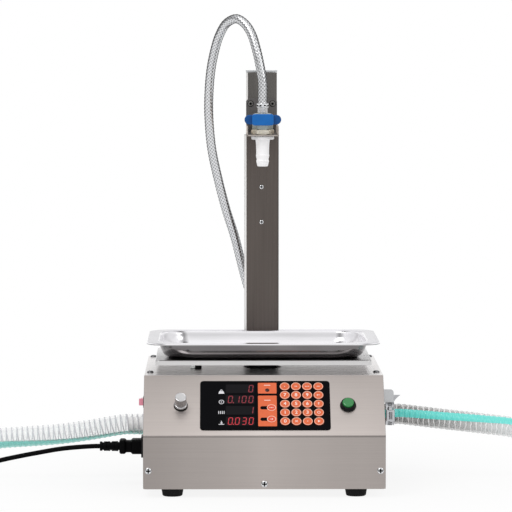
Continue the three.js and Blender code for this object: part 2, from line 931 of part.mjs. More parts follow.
function rocker() {
  return acrossWidth([
    [-rockerFoot, -rockerDepth],
    [rockerFoot, -rockerDepth],
    [rockerHalfLength, 0],
    [rockerHalfLength, rockerTop],
    [0, rockerTop - rockerDip],
    [-rockerHalfLength, rockerTop],
    [-rockerHalfLength, 0],
  ], 2 * rockerHalfHeight);
}

// Mains inlet and connector

const inletBodyHeight = socketHeight + 2 * gap + 2 * inletWall;
const inletBodyWidth = socketWidth + 2 * gap + 2 * inletWall;
const inletFace = gap + inletFlangeThickness;
const connectorFace = inletFace + gap;
const connectorEnd = connectorFace + connectorLength + reliefLength;

function mainsInlet() {
  const outline = roundedRectangle(inletFlangeHeight, inletFlangeWidth, inletCorner);
  const flange = extruded(outline, gap, inletFace);
  const body = boxBetween(
    [-inletBodyHeight / 2, -inletBodyWidth / 2, -inletBodyDepth],
    [inletBodyHeight / 2, inletBodyWidth / 2, inletFace - overrun / 2],
  );
  const socket = boxBetween(
    [-socketHeight / 2 - gap, -socketWidth / 2 - gap, inletFace - socketDepth],
    [socketHeight / 2 + gap, socketWidth / 2 + gap, inletFace + overrun],
  );
  return carve([flange, body], [socket]);
}

function strainRelief(low, length, radius, tipRadius, ribs, groove) {
  const pitch = length / (ribs + 1);
  const [falls, rises, ends] = reliefGrooveShares;
  const profile = [[0, low - overrun], [radius, low - overrun], [radius, low]];
  for (let i = 0; i < ribs; i += 1) {
    const share = (i + 1 / 2) / ribs;
    const width = radius + (tipRadius - radius) * share;
    const start = low + (i + 1 / 2) * pitch;
    profile.push([width, start], [width - groove, start + pitch * falls]);
    profile.push([width - groove, start + pitch * rises], [width, start + pitch * ends]);
  }
  profile.push([tipRadius, low + length], [0, low + length]);
  return turned(profile, reliefSides);
}

function powerConnector() {
  const nose = boxBetween(
    [-socketHeight / 2, -socketWidth / 2, inletFace - socketDepth + gap],
    [socketHeight / 2, socketWidth / 2, connectorFace + overrun],
  );
  const body = lofted(connectorSections.map(([rise, share]) => roundedRing(
    connectorHeight * share, connectorWidth * share, connectorCorner, connectorFace + rise, 3,
  )));
  const relief = strainRelief(
    connectorFace + connectorLength, reliefLength, reliefRadius, reliefTipRadius, reliefRibs, reliefGroove,
  );
  return carve([nose, body, relief]);
}

// Lofted forms: rings of equal point counts, joined and closed at both ends

function roundedRing(width, depth, radius, height, steps) {
  const points = [];
  const corners = [[1, 1, 0], [-1, 1, 1], [-1, -1, 2], [1, -1, 3]];
  for (const [sx, sy, quarter] of corners) {
    for (let i = 0; i <= steps; i += 1) {
      const angle = ((quarter + i / steps) * Math.PI) / 2;
      const x = sx * (width / 2 - radius) + radius * Math.cos(angle);
      const y = sy * (depth / 2 - radius) + radius * Math.sin(angle);
      points.push([x, y, height]);
    }
  }
  return points;
}

function lofted(rings) {
  const count = rings[0].length;
  const positions = rings.flat(2);
  const faces = [];
  for (let r = 0; r + 1 < rings.length; r += 1) {
    for (let i = 0; i < count; i += 1) {
      const [a, b] = [r * count + i, r * count + ((i + 1) % count)];
      faces.push(a, b, b + count, a, b + count, a + count);
    }
  }
  const capEnd = (offset, flip) => {
    for (let i = 1; i + 1 < count; i += 1) {
      const corners = [offset, offset + i, offset + i + 1];
      faces.push(...(flip ? corners.reverse() : corners));
    }
  };
  capEnd(0, true);
  capEnd((rings.length - 1) * count, false);
  const geometry = new THREE.BufferGeometry();
  geometry.setAttribute('position', new THREE.Float32BufferAttribute(positions, 3));
  geometry.setIndex(faces);
  return geometry;
}

// Weighing

function panRing(inset, height) {
  const corner = Math.max(panCorner - inset, panSheet);
  return roundedRing(panWidth - 2 * inset, panDepth - 2 * inset, corner, height, panCornerSteps);
}

function weighingPan() {
  const rimTop = panFloorHeight + panHeight;
  const floorTop = panFloorHeight + panSheet;
  const wallDrop = panHeight - panSheet;
  const wall = (base, offset) => panWallShares.map(([run, rise]) => [
    panRim + panWallRun * run + offset, base + wallDrop * rise,
  ]);
  const underside = [
    [panRim + panWallRun + panSheet, panFloorHeight],
    ...wall(panFloorHeight, -panSheet),
    [panRim - panSheet, rimTop - 3 * panSheet],
    [panRim - 2 * panSheet, rimTop - panSheet],
    [panSheet, rimTop - panSheet],
    [panSheet, rimTop - panLip],
    [0, rimTop - panLip],
  ];
  const topside = [
    [0, rimTop - panSheet / 2],
    [panSheet / 2, rimTop],
    [panRim - panSheet, rimTop],
    [panRim + panSheet / 2, rimTop - 2 * panSheet],
    ...wall(floorTop, panSheet / 2).reverse(),
    [panRim + panWallRun + 2 * panSheet, floorTop],
  ];
  const rings = [...underside, ...topside].map(([inset, height]) => panRing(inset, height));
  return lofted(rings);
}

function supportPlate() {
  const top = panFloorHeight - gap;
  const bottom = top - supportLip;
  const outer = extruded(roundedRectangle(supportWidth, supportDepth, supportCorner), bottom, top, 3);
  const inside = roundedRectangle(
    supportWidth - 2 * supportSheet, supportDepth - 2 * supportSheet, supportCorner - supportSheet,
  );
  const hollow = extruded(inside, bottom - overrun, top - supportSheet, 3);
  return carve([outer], [hollow]).translate(0, panCenterY, 0);
}

function cellSpacer() {
  return boxBetween(
    [-spacerWidth / 2, panCenterY - spacerDepth / 2, cellTop + gap],
    [spacerWidth / 2, panCenterY + spacerDepth / 2, supportUnderside - gap],
  );
}

const cellFront = panCenterY - cellEndInset;
const cellBack = cellFront + cellLength;

function loadCell() {
  const bar = boxBetween(
    [-cellWidth / 2, cellFront, cellTop - cellHeight],
    [cellWidth / 2, cellBack, cellTop],
  );
  const middle = [(cellFront + cellBack) / 2, cellTop - cellHeight / 2];
  const bores = [-1, 1].map((side) => facingRight(rod(cellBore, -cellWidth, cellWidth, smallSides))
    .translate(0, middle[0] + (side * cellBoreSpacing) / 2, middle[1]));
  const slot = boxBetween(
    [-cellWidth, middle[0] - cellBoreSpacing / 2, middle[1] - cellSlot / 2],
    [cellWidth, middle[0] + cellBoreSpacing / 2, middle[1] + cellSlot / 2],
  );
  return carve([bar], [...bores, slot]);
}

function pedestal() {
  const [low, high] = [trayTop + gap, cellTop - cellHeight - gap];
  const y = cellBack - cellEndInset;
  const block = boxBetween(
    [-pedestalWidth / 2, y - pedestalDepth / 2, low],
    [pedestalWidth / 2, y + pedestalDepth / 2, high],
  );
  const hollow = boxBetween(
    [-pedestalWidth / 2 + pedestalSheet, y - pedestalDepth / 2 - overrun, low + pedestalSheet],
    [pedestalWidth / 2 - pedestalSheet, y + pedestalDepth / 2 - pedestalSheet, high - pedestalSheet],
  );
  return carve([block], [hollow]);
}

// Telescoping column

function tubeWall(width, depth, corner, wall, low, high) {
  const outline = roundedRectangle(width, depth, corner);
  const innerCorner = Math.max(corner - wall, wall / 2);
  outline.holes.push(roundedRectangle(width - 2 * wall, depth - 2 * wall, innerCorner));
  return extruded(outline, low, high, 3);
}

const mastWidth = columnWidth - 2 * columnWall - 2 * mastClearance;
const mastDepth = columnDepth - 2 * columnWall - 2 * mastClearance;
const mastFrontY = columnY + columnWall + mastClearance;
const bracketTop = columnTop + gap + bracketHeight;
const boltHeight = bracketTop - bracketBoltDrop;

function outerColumn() {
  const tube = tubeWall(columnWidth, columnDepth, columnCorner, columnWall, trayTop + gap, columnTop)
    .translate(0, columnMiddleY, 0);
  const holes = [upperLockDrop, lowerLockDrop].map((drop) => facingFront(
    rod(lockScrewShank + holeClearance, -columnWall - overrun, overrun, screwSides),
  ).translate(0, columnY, columnTop - drop));
  return carve([tube], holes);
}

function mast() {
  const tube = tubeWall(mastWidth, mastDepth, mastCorner, mastWall, mastBottom, mastTop)
    .translate(0, columnMiddleY, 0);
  const holes = [-1, 1].map((side) => facingFront(
    rod(boltShankRadius + holeClearance, -mastWall - overrun, overrun, screwSides),
  ).translate((side * bracketBoltSpacing) / 2, mastFrontY, boltHeight));
  return carve([tube], holes);
}

function mastCap() {
  const low = mastTop + gap;
  const plugInset = 2 * mastWall + 2 * gap;
  const outline = (overhang, height) => roundedRing(
    mastWidth + overhang, mastDepth + overhang, mastCorner, height, 3,
  );
  const plate = lofted([
    outline(0, low),
    outline(mastCapOverhang, low + mastCapHeight / 3),
    outline(mastCapOverhang, low + mastCapHeight),
  ]);
  const plug = boxBetween(
    [-(mastWidth - plugInset) / 2, -(mastDepth - plugInset) / 2, low - mastPlugDepth],
    [(mastWidth - plugInset) / 2, (mastDepth - plugInset) / 2, low + mastCapHeight / 2],
  );
  return carve([plate, plug]);
}

function lockScrew() {
  const reach = columnWall + mastClearance - gap;
  return facingFront(turned([
    [0, -reach],
    [lockScrewShank, -reach],
    [lockScrewShank, gap],
    [lockScrewRadius, gap],
    [lockScrewRadius, lockScrewHeadHeight * lockScrewRimShare],
    [lockScrewRadius * lockScrewCrownShare, lockScrewHeadHeight],
    [0, lockScrewHeadHeight],
  ], screwSides));
}

// Bracket and arm

const nozzleY = panCenterY;
const plateBackY = mastFrontY - gap;
const plateFrontY = plateBackY - bracketSheet;
const armBottom = columnTop + armBaseRise;
const armTop = armBottom + bracketSheet;
const armFrontY = nozzleY - armFrontReach;

function nozzleBracket() {
  const half = bracketWidth / 2;
  const [low, high] = [columnTop + gap, bracketTop];
  const face = extruded(polygon([
    [-half, low], [half, low], [half, high - bracketChamfer], [half - bracketChamfer, high],
    [bracketChamfer - half, high], [-half, high - bracketChamfer],
  ]), -plateBackY, -plateFrontY).rotateX(Math.PI / 2);
  const armHalf = armWidth / 2;
  const floor = boxBetween([-armHalf, armFrontY, armBottom], [armHalf, plateBackY, armTop]);
  const flangeTop = armBottom + armFlangeHeight;
  const flange = () => acrossWidth([
    [armFrontY, armBottom],
    [plateBackY, armBottom],
    [plateBackY, flangeTop],
    [armFrontY + armChamfer, flangeTop],
    [armFrontY, flangeTop - armChamfer],
  ], bracketSheet);
  const edge = armHalf - bracketSheet / 2;
  const shankHole = rod(shankRadius + holeClearance, armBottom - overrun, armTop + overrun)
    .translate(0, nozzleY, 0);
  const boltHoles = [-1, 1].map((side) => facingFront(
    rod(boltShankRadius + holeClearance, -bracketSheet - overrun, overrun, screwSides),
  ).translate((side * bracketBoltSpacing) / 2, plateFrontY, boltHeight));
  const solids = [face, floor, flange().translate(-edge, 0, 0), flange().translate(edge, 0, 0)];
  return carve(solids, [shankHole, ...boltHoles]);
}

function bracketBolt() {
  const reach = bracketSheet + gap + mastWall;
  return facingFront(turned([
    [0, -reach],
    [boltShankRadius, -reach],
    [boltShankRadius, gap],
    [boltHeadRadius, gap],
    [boltHeadRadius, boltHeadHeight * boltRimShare],
    [boltHeadRadius * boltCrownShare, boltHeadHeight],
    [0, boltHeadHeight],
  ], screwSides));
}

// Outlet valve on the nozzle's axis

const lockNutTop = armTop + gap + lockNutHeight;
const valveBottom = lockNutTop + gap;
const valveTop = valveBottom + valveHeight;
const valveMiddle = valveBottom + valveHeight * valveBallHeightShare;
const bossFrontY = armFrontY - bossClearance;
const handleBackY = bossFrontY - gap;
const ferruleTop = valveTop + gap + ferruleLength;
const nozzleTop = armBottom - gap;
const nozzleTip = nozzleTop - nozzleLength;
const shankEnd = nozzleTop - shankDrop;

function lockNut() {
  const hexagon = extruded(regular(6, lockNutFlats), armTop + gap, lockNutTop);
  return carve([hexagon], [rod(shankRadius + holeClearance, armTop - overrun, lockNutTop + overrun)]);
}

function valveBody() {
  const body = extruded(regular(valveSides, 2 * valveRadius, 0.5), valveBottom, valveTop);
  const shank = rod(shankRadius, shankEnd, valveBottom + overrun, smallSides);
  const barb = rod(barbRadius, valveTop - overrun, valveTop + gap + barbLength, smallSides);
  const bossLength = nozzleY - bossFrontY;
  const boss = facingFront(rod(bossRadius, 0, bossLength, smallSides)).translate(0, 0, valveMiddle);
  const passage = rod(valveBore, shankEnd - overrun, valveTop + barbLength + overrun, smallSides);
  const cavity = new THREE.SphereGeometry(ballRadius + gap, 12, 8).translate(0, 0, valveMiddle);
  const stemHole = facingFront(rod(stemRadius + gap, 0, bossLength + overrun, smallSides))
    .translate(0, 0, valveMiddle);
  return carve([body, shank, barb, boss], [passage, cavity, stemHole]);
}

function valveBall() {
  const reach = nozzleY - handleBackY + handleSocketDepth - gap;
  const ball = new THREE.SphereGeometry(ballRadius, 12, 8);
  const stem = facingFront(rod(stemRadius, 0, reach, smallSides));
  const passage = facingRight(rod(valveBore, -ballRadius - overrun, ballRadius + overrun, smallSides));
  return carve([ball, stem], [passage]);
}

function bevelledBar(length, height, corner, thickness, curveSegments) {
  const trim = 2 * handleBevel;
  const outline = roundedRectangle(length - trim, height - trim, corner - handleBevel);
  return new THREE.ExtrudeGeometry(outline, {
    depth: thickness - trim,
    bevelSize: handleBevel,
    bevelThickness: handleBevel,
    bevelSegments: 1,
    curveSegments,
  }).translate(0, 0, handleBevel);
}

function handle() {
  const ears = bevelledBar(handleLength, earHeight, earHeight / 2, earThickness, 5);
  const band = bevelledBar(bandLength, handleHeight, 3 * handleBevel, earThickness + bandThickness, 2);
  const socket = rod(stemRadius + gap, -overrun, handleSocketDepth, smallSides);
  return facingFront(carve([ears, band], [socket]));
}

function nozzle() {
  const neckTop = nozzleTop - nozzleFlangeHeight;
  const taper = (height) => {
    const share = (neckTop - height) / (neckTop - nozzleTip);
    return nozzleNeckRadius + (nozzleTipRadius - nozzleNeckRadius) * share;
  };
  const profile = [[nozzleBore, nozzleTip], [nozzleTipRadius - nozzleBarbRise, nozzleTip]];
  for (const step of [1, 2]) {
    const base = nozzleTip + step * nozzleBarbPitch;
    profile.push([taper(base) + nozzleBarbRise, base], [taper(base), base + nozzleBarbLength / step]);
  }
  const socketFloor = nozzleTop - nozzleSocketDepth;
  profile.push(
    [nozzleNeckRadius, neckTop],
    [nozzleFlangeRadius, neckTop],
    [nozzleFlangeRadius, nozzleTop],
    [shankRadius + gap, nozzleTop],
    [shankRadius + gap, socketFloor],
    [nozzleBore, socketFloor],
    [nozzleBore, nozzleTip],
  );
  return turned(profile);
}

function ferrule() {
  const [low, high] = [valveTop + gap, ferruleTop];
  const beadRadius = ferruleRadius + ferruleBead;
  return turned([
    [barbRadius + gap, low],
    [ferruleRadius, low],
    [ferruleRadius, high - ferruleBeadLength],
    ...ferruleBeadShares.map((share) => [beadRadius, high - ferruleBeadLength * share]),
    [ferruleRadius, high],
    [barbRadius + gap, high],
    [barbRadius + gap, low],
  ], smallSides);
}

// Liquid side inside the housing and its fittings

const motorBackY = portY - pumpHeadDepth / 2 - gap;
const motorFrontY = motorBackY - motorLength;
const barbOuterRadius = hoseBoreRadius * Math.cos(Math.PI / hoseSides) - gap;
const innerBarbRadius = innerTubeRadius - innerTubeWall - gap;
const pumpSide = pumpHeadWidth / 2;

function pumpHead() {
  const body = extruded(roundedRectangle(pumpHeadWidth, pumpHeadHeight, pumpHeadCorner), 0, pumpHeadDepth, 3)
    .rotateX(Math.PI / 2).translate(pumpX, portY + pumpHeadDepth / 2, pumpZ);
  const spigot = () => rod(innerBarbRadius, pumpSide - overrun, pumpSide + portInnerReach, smallSides);
  const left = facingLeft(spigot()).translate(pumpX, portY, leftPortZ);
  const right = facingRight(spigot()).translate(pumpX, portY, rightPortZ);
  const outlet = facingFront(rod(outletNeckRadius - gap, -outletSide, overrun, smallSides))
    .translate(pumpX - outletSide, portY + pumpHeadDepth / 2, outletRunHeight + pumpHeadCorner);
  return carve([body, left, right, outlet]);
}

function pumpMotor() {
  return facingFront(turned([
    [0, 0],
    [motorRadius - knobChamfer, 0],
    [motorRadius, knobChamfer],
    [motorRadius, motorLength - knobChamfer],
    [motorRadius - knobChamfer, motorLength],
    [motorBearingRadius, motorLength],
    [motorBearingRadius, motorLength + motorBearingLength],
    [0, motorLength + motorBearingLength],
  ]));
}

function pumpSaddle() {
  const half = motorRadius + saddleMargin;
  const floorTop = trayTop + gap + saddleSheet;
  const floor = boxBetween(
    [-half, motorFrontY + saddleInset, trayTop + gap],
    [half, motorBackY - saddleInset, floorTop],
  );
  const cheeks = [motorFrontY + saddleInset, motorBackY - saddleInset - saddleSheet].map(
    (y) => boxBetween([-half, y, trayTop + gap], [half, y + saddleSheet, pumpZ - gap]),
  );
  const cradle = facingFront(rod(motorRadius + gap, -motorBackY, -motorFrontY)).translate(0, 0, pumpZ);
  return carve([floor, ...cheeks], [cradle]);
}

function innerTube(wallReach) {
  const [low, high] = [pumpSide + gap, wallReach - sheet - portFlangeHeight - 2 * gap];
  return ring(innerTubeRadius, innerTubeRadius - innerTubeWall, low, high, smallSides);
}

function portFitting() {
  const nutHeight = portFlangeHeight;
  return turned([
    [portBore, -sheet - gap - nutHeight - portInnerReach],
    [innerBarbRadius, -sheet - gap - nutHeight - portInnerReach],
    [innerBarbRadius, -sheet - gap - nutHeight],
    [portFlangeRadius, -sheet - gap - nutHeight],
    [portFlangeRadius, -sheet - gap],
    [portNeckRadius, -sheet - gap],
    [portNeckRadius, gap],
    [portFlangeRadius, gap],
    [portFlangeRadius, gap + portFlangeHeight],
    [barbOuterRadius, gap + portFlangeHeight],
    [barbOuterRadius, gap + portFlangeHeight + portBarbLength],
    [portBore, gap + portFlangeHeight + portBarbLength],
    [portBore, -sheet - gap - nutHeight - portInnerReach],
  ], smallSides);
}

const hoseStart = bodyWidth / 2 + 2 * gap + portFlangeHeight;
const outletTop = deckTop + gap + outletNutHeight + outletFerruleLength;
const outletInnerEnd = deckTop - sheet - outletInnerDrop;

function outletFitting() {
  const nut = extruded(regular(6, outletNutFlats), deckTop + gap, deckTop + gap + outletNutHeight);
  const neck = rod(outletNeckRadius, outletInnerEnd, deckTop + gap + overrun, smallSides);
  const sleeve = rod(ferruleRadius, deckTop + gap + outletNutHeight - overrun, outletTop, smallSides);
  const innerNut = extruded(
    regular(6, outletNutFlats), deckTop - sheet - gap - outletNutHeight, deckTop - sheet - gap,
  );
  return carve([nut, neck, sleeve, innerNut]);
}

function outletTube() {
  const startY = portY + pumpHeadDepth / 2 + outletSide + gap;
  const height = outletRunHeight + pumpHeadCorner;
  const rise = outletInnerEnd - gap;
  return tubeAlong([
    [pumpX - outletSide, startY, height],
    [pumpX - outletSide, startY + outletRadius, height],
    [(pumpX - outletSide + outletTurnX) / 2, startY + 4 * outletRadius, height],
    [outletTurnX, startY + 9 * outletRadius, height],
    [outletTurnX, outletY - 6 * outletRadius, height],
    [outletTurnX + 3 * outletRadius, outletY, height + outletRadius],
    [outletTurnX / 3, outletY, height + 3 * outletRadius],
    [0, outletY, height + 8 * outletRadius],
    [0, outletY, rise - outletRadius],
    [0, outletY, rise],
  ], outletRadius, 8, 22);
}

function powerSupply() {
  const [x, y] = [supplyLeftX, bodyDepth - sheet - 2 * supplyInset];
  const [low, high] = [trayTop + gap, trayTop + gap + supplyHeight];
  const box = boxBetween([x, y - supplyDepth, low], [x + supplyWidth, y, high]);
  const shelf = boxBetween(
    [x - overrun, y - supplyDepth - overrun, high - terminalDrop],
    [x + supplyWidth + overrun, y - supplyDepth + terminalDepth, high + overrun],
  );
  const strip = boxBetween(
    [x + terminalDepth, y - supplyDepth + terminalWall, high - terminalDrop - overrun],
    [x + supplyWidth - terminalDepth, y - supplyDepth + terminalDepth - terminalWall, high - terminalWall],
  );
  return carve([carve([box], [shelf]), strip]);
}

// Braided hose, held by the outlet fitting and the valve's ferrule

const braidedRadius = 7;
const braidedRoute = [
  [0, nozzleY, ferruleTop + gap],
  [0, nozzleY, ferruleTop + gap + braidedRadius],
  [0, 204, 597],
  [-3, 206, 616],
  [-9, 212, 644],
  [-16, 220, 667],
  [-26, 230, 683],
  [-39, 241, 691],
  [-54, 254, 684],
  [-65, 263, 665],
  [-72, 274, 642],
  [-78, 286, 610],
  [-81, 300, 565],
  [-80, 312, 528],
  [-76, 323, 490],
  [-67, 336, 447],
  [-55, 348, 400],
  [-41, 358, 355],
  [-27, outletY, 300],
  [-14, outletY, 255],
  [-4, outletY, 222],
  [0, outletY, outletTop + gap + 2 * braidedRadius],
  [0, outletY, outletTop + gap],
];

// Spiral hoses: ribs outside, a smooth bore, and a bare cut end

const leftHoseRoute = [
  [-hoseStart, portY, leftPortZ],
  [-hoseStart - hoseRadius, portY, leftPortZ],
  [-206, portY, leftPortZ - 0.1],
  [-222, portY, 80.7],
  [-240, portY, 77.6],
  [-268, portY, 73],
  [-296, portY, 69.2],
  [-325, portY, 66.5],
  [-355, portY, 64.5],
  [-395, portY, 61.6],
  [-440, portY, 53.5],
  [-485, 201, 38.5],
  [-525, 203, 25.5],
  [-565, 208, 17.9],
  [-605, 222, 16],
  [-643, 246, 15.8],
  [-672, 281, 15.8],
  [-687, 324, 15.8],
  [-684, 369, 15.8],
  [-664, 409, 15.8],
  [-630, 440, 15.8],
  [-587, 456, 15.8],
  [-541, 455, 15.8],
  [-499, 437, 15.8],
  [-466, 404, 15.8],
  [-450, 366, 15.8],
  [-446, 335, 15.8],
];

const rightHoseRoute = [
  [hoseStart, portY, rightPortZ],
  [hoseStart + hoseRadius, portY, rightPortZ],
  [206, portY, rightPortZ - 0.1],
  [222, portY, 96.2],
  [240, portY, 94],
  [270, portY, 90.3],
  [300, portY, 86.9],
  [335, portY, 82.8],
  [371, portY, 78.2],
  [405, portY, 70],
  [435, portY, 58],
  [470, 201, 41],
  [505, 203, 26.5],
  [545, 208, 17.6],
  [585, 222, 16],
  [623, 246, 15.8],
  [652, 281, 15.8],
  [667, 324, 15.8],
  [664, 369, 15.8],
  [644, 409, 15.8],
  [610, 440, 15.8],
  [567, 456, 15.8],
  [521, 455, 15.8],
  [479, 437, 15.8],
  [446, 404, 15.8],
  [430, 366, 15.8],
  [426, 335, 15.8],
];

function frameAlong(path, share) {
  const place = path.getPointAt(share);
  const ahead = path.getTangentAt(share).normalize();
  const side = new THREE.Vector3(0, 0, 1).cross(ahead).normalize();
  const up = ahead.clone().cross(side);
  return { place, side, up };
}

function ringAround({ place, side, up }, radius) {
  return Array.from({ length: hoseSides }, (_, i) => {
    const angle = (i * 2 * Math.PI) / hoseSides;
    const point = place.clone().addScaledVector(side, radius * Math.cos(angle));
    return point.addScaledVector(up, radius * Math.sin(angle)).toArray();
  });
}

function joinedLoop(rings) {
  const count = rings[0].length;
  const faces = [];
  for (let r = 0; r < rings.length; r += 1) {
    const [here, next] = [r * count, ((r + 1) % rings.length) * count];
    for (let i = 0; i < count; i += 1) {
      const j = (i + 1) % count;
      faces.push(here + i, here + j, next + j, here + i, next + j, next + i);
    }
  }
  const geometry = new THREE.BufferGeometry();
  geometry.setAttribute('position', new THREE.Float32BufferAttribute(rings.flat(2), 3));
  geometry.setIndex(faces);
  return geometry;
}

function spiralHose(route) {
  const path = smoothPath(route);
  const ringAt = (share, radius) => ringAround(frameAlong(path, share), radius);
  const length = path.getLength();
  const plainEnd = (2 * hoseRadius) / length;
  const ribs = Math.round((length * (1 - 2 * plainEnd)) / ribPitch);
  const step = (1 - 2 * plainEnd) / ribs;
  const outer = [ringAt(0, hoseRadius), ringAt(plainEnd, hoseRadius)];
  const inner = [ringAt(0, hoseBoreRadius)];
  for (let i = 0; i < ribs; i += 1) {
    const share = plainEnd + i * step;
    outer.push(ringAt(share + step / 2, hoseRootRadius));
    outer.push(ringAt(share + step, hoseRadius));
    if (i % ribsPerBoreRing === 0) inner.push(ringAt(share, hoseBoreRadius));
  }
  outer.push(ringAt(1, hoseRadius));
  inner.push(ringAt(1 - plainEnd, hoseBoreRadius));
  inner.push(ringAt(1, hoseBoreRadius));
  return joinedLoop([...outer, ...inner.reverse()]);
}

// Worm clamp round the right hose, and the steel bracket above the port

function hoseClamp() {
  const inner = hoseRadius + 2 * gap;
  const seat = inner + clampBand / 2;
  const [low, high] = [hoseStart + clampStart, hoseStart + clampStart + clampWidth];
  const band = facingRight(ring(inner + clampBand, inner, low, high));
  const front = -inner - wormDepth;
  const housing = boxBetween([low, front, -wormLength / 2], [high, -seat, wormLength / 2]);
  const middle = [(low + high) / 2, (front - seat) / 2];
  const wormSpan = [-wormLength / 2 - overrun, wormLength / 2 + wormHeadHeight / 2];
  const worm = rod(wormScrewRadius, ...wormSpan, smallSides).translate(...middle, 0);
  const hexagon = regular(6, 2 * wormHeadRadius);
  const head = extruded(hexagon, wormLength / 2, wormLength / 2 + wormHeadHeight)
    .translate(...middle, 0);
  const [tailFoot, tailTop] = [seat, seat + tailLength];
  const [flare, tailMiddle] = [tailLean * tailFlareShare, (tailFoot + tailTop) / 2];
  const tail = extruded(polygon([
    [low, tailFoot], [high, tailFoot], [high + flare, tailMiddle],
    [high + tailLean, tailTop], [low + tailLean, tailTop], [low + flare, tailMiddle],
  ]), 0, tailThickness).rotateX(Math.PI / 2).translate(0, gap + tailThickness, 0);
  return carve([band, housing, worm, head, tail]);
}

function portBracket() {
  const low = hoseRadius + clampBand + 2 * gap;
  const high = low + portBracketHeight;
  const [start, reach, corner] = [gap, portBracketReach, portBracketCorner];
  const outline = new THREE.Shape();
  outline.moveTo(start, low);
  outline.lineTo(reach, low);
  outline.lineTo(reach, high - corner);
  outline.absarc(reach - corner, high - corner, corner, 0, Math.PI / 2);
  outline.lineTo(start, high);
  const face = extruded(outline, 0, bracketSheet, 4).rotateX(Math.PI / 2);
  const foot = boxBetween([start, -bracketSheet, low], [start + bracketSheet, portBracketFoot, high]);
  return carve([face, foot]);
}

// Mains lead, coil and plug

const connectorTipX = -(bodyWidth / 2 + connectorEnd);
const coilTurns = 2 * coilTurnsPerLayer;
const coilOuterRadius = coilMiddleRadius + (coilTurnsPerLayer * coilPitch) / 2;
const leadFloor = leadRadius + gap / 2;

function coilPoint(turns) {
  const half = coilTurnsPerLayer;
  const fold = Math.abs(turns - half);
  const radius = coilOuterRadius - (half - fold) * coilPitch;
  const climb = THREE.MathUtils.smoothstep(turns, half - coilClimbTurns, half + coilClimbTurns);
  const angle = Math.PI / 2 + turns * 2 * Math.PI;
  return new THREE.Vector3(
    coilX + radius * Math.cos(angle),
    coilY + radius * Math.sin(angle),
    leadFloor + coilLayerPitch * climb,
  );
}

function coilRoute() {
  const count = Math.round(coilTurns * coilSteps);
  const turns = Array.from({ length: count + 1 }, (_, i) => coilPoint((i * coilTurns) / count));
  const tail = turns[count].clone().add(new THREE.Vector3(-coilTail, 0, 0));
  const nose = turns[0].clone().add(new THREE.Vector3(2 * leadRadius, 0, 0));
  return [nose, ...turns, tail];
}

function leastGapToItself(points, diameter) {
  let least = Infinity;
  const skip = Math.round(coilSteps / 3);
  for (let i = 0; i < points.length; i += 1) {
    for (let j = i + skip; j < points.length; j += 1) {
      least = Math.min(least, points[i].distanceTo(points[j]) - diameter);
    }
  }
  return least;
}

function coilOfLead(points) {
  const rings = points.map((place, i) => {
    const before = points[Math.max(i - 1, 0)];
    const after = points[Math.min(i + 1, points.length - 1)];
    const ahead = after.clone().sub(before).normalize();
    const side = new THREE.Vector3(0, 0, 1).cross(ahead).normalize();
    const up = ahead.clone().cross(side);
    return Array.from({ length: coilSides }, (_, k) => {
      const angle = (k * 2 * Math.PI) / coilSides;
      const point = place.clone().addScaledVector(side, leadRadius * Math.cos(angle));
      return point.addScaledVector(up, leadRadius * Math.sin(angle)).toArray();
    });
  });
  return lofted(rings);
}

const coilPath = coilRoute();
const coilGap = leastGapToItself(coilPath, 2 * leadRadius);
console.log('least gap of the coil to itself in mm:', coilGap.toFixed(2));

const leadRoute = [
  [connectorTipX - gap, inletY, inletZ],
  [connectorTipX - gap - 2 * leadRadius, inletY, inletZ],
  [-275, 120, 58.5],
  [-300, 120, 56],
  [-330, 119, 51],
  [-360, 118, 45.5],
  [-389, 116, 39.5],
  [-420, 114, 31],
  [-450, 112, 21],
  [-480, 110.5, 11.5],
  [-505, 109, 5.5],
  [-525, coilPath[0].y, leadFloor],
  [coilPath[0].x + gap + 2 * leadRadius, coilPath[0].y, leadFloor],
  [coilPath[0].x + gap, coilPath[0].y, leadFloor],
];

function mainsPlug() {
  const front = plugReliefLength + plugLength;
  const body = extruded(roundedRectangle(plugHeight, plugWidth, plugCorner), plugReliefLength, front, 3);
  const waist = plugHeight * plugWaistShare;
  const cone = turned([
    [0, 0],
    [leadRadius + 2 * gap, 0],
    [waist, plugReliefLength],
    [waist, plugReliefLength + overrun],
    [0, plugReliefLength + overrun],
  ], smallSides);
  const blades = [-1, 1].map((side) => boxBetween(
    [-bladeDrop - bladeWidth / 2, (side * bladeSpacing - bladeThickness) / 2, front - overrun],
    [-bladeDrop + bladeWidth / 2, (side * bladeSpacing + bladeThickness) / 2, front + bladeLength],
  ));
  const earth = rod(earthPinRadius, front - overrun, front + bladeLength, 10).translate(earthPinRise, 0, 0);
  return carve([body, cone, ...blades, earth]);
}

// The scene graph

add(machine, 'base_tray', baseTray(), brushedSteel);
add(machine, 'front_panel', frontPanel(), brushedSteel);
add(machine, 'wrap_cover', wrapCover(), brushedSteel);
add(machine, 'deck_plate', deckPlate(), brushedSteel);
add(machine, 'bubble_level', bubbleLevel(), blackPlastic, [levelWindowX, levelWindowY, deckTop]);
addFeet();
for (const { name, x, z } of frontScrews) {
  add(machine, name, facingFront(screw(screwShankLength)), zincSteel, [x, -gap, z]);
}

const film = [0, 0, gap];
add(slope, 'keypad_overlay', keypadOverlay(), blackPlastic, film);
add(slope, 'control_board', controlBoard(), greenBoard);
const knobSeat = [knobX, slopeMiddle, 0];
add(slope, 'flow_knob', knob(), aluminium, knobSeat);
add(slope, 'knob_gasket', knobGasket(), blackRubber, knobSeat);
add(slope, 'potentiometer', potentiometer(), zincSteel, knobSeat);
const buttonSeat = [buttonX, slopeMiddle, 0];
add(slope, 'start_button_bezel', buttonBezel(), blackPlastic, buttonSeat);
add(slope, 'start_button', buttonCap(), greenPlastic, buttonSeat);

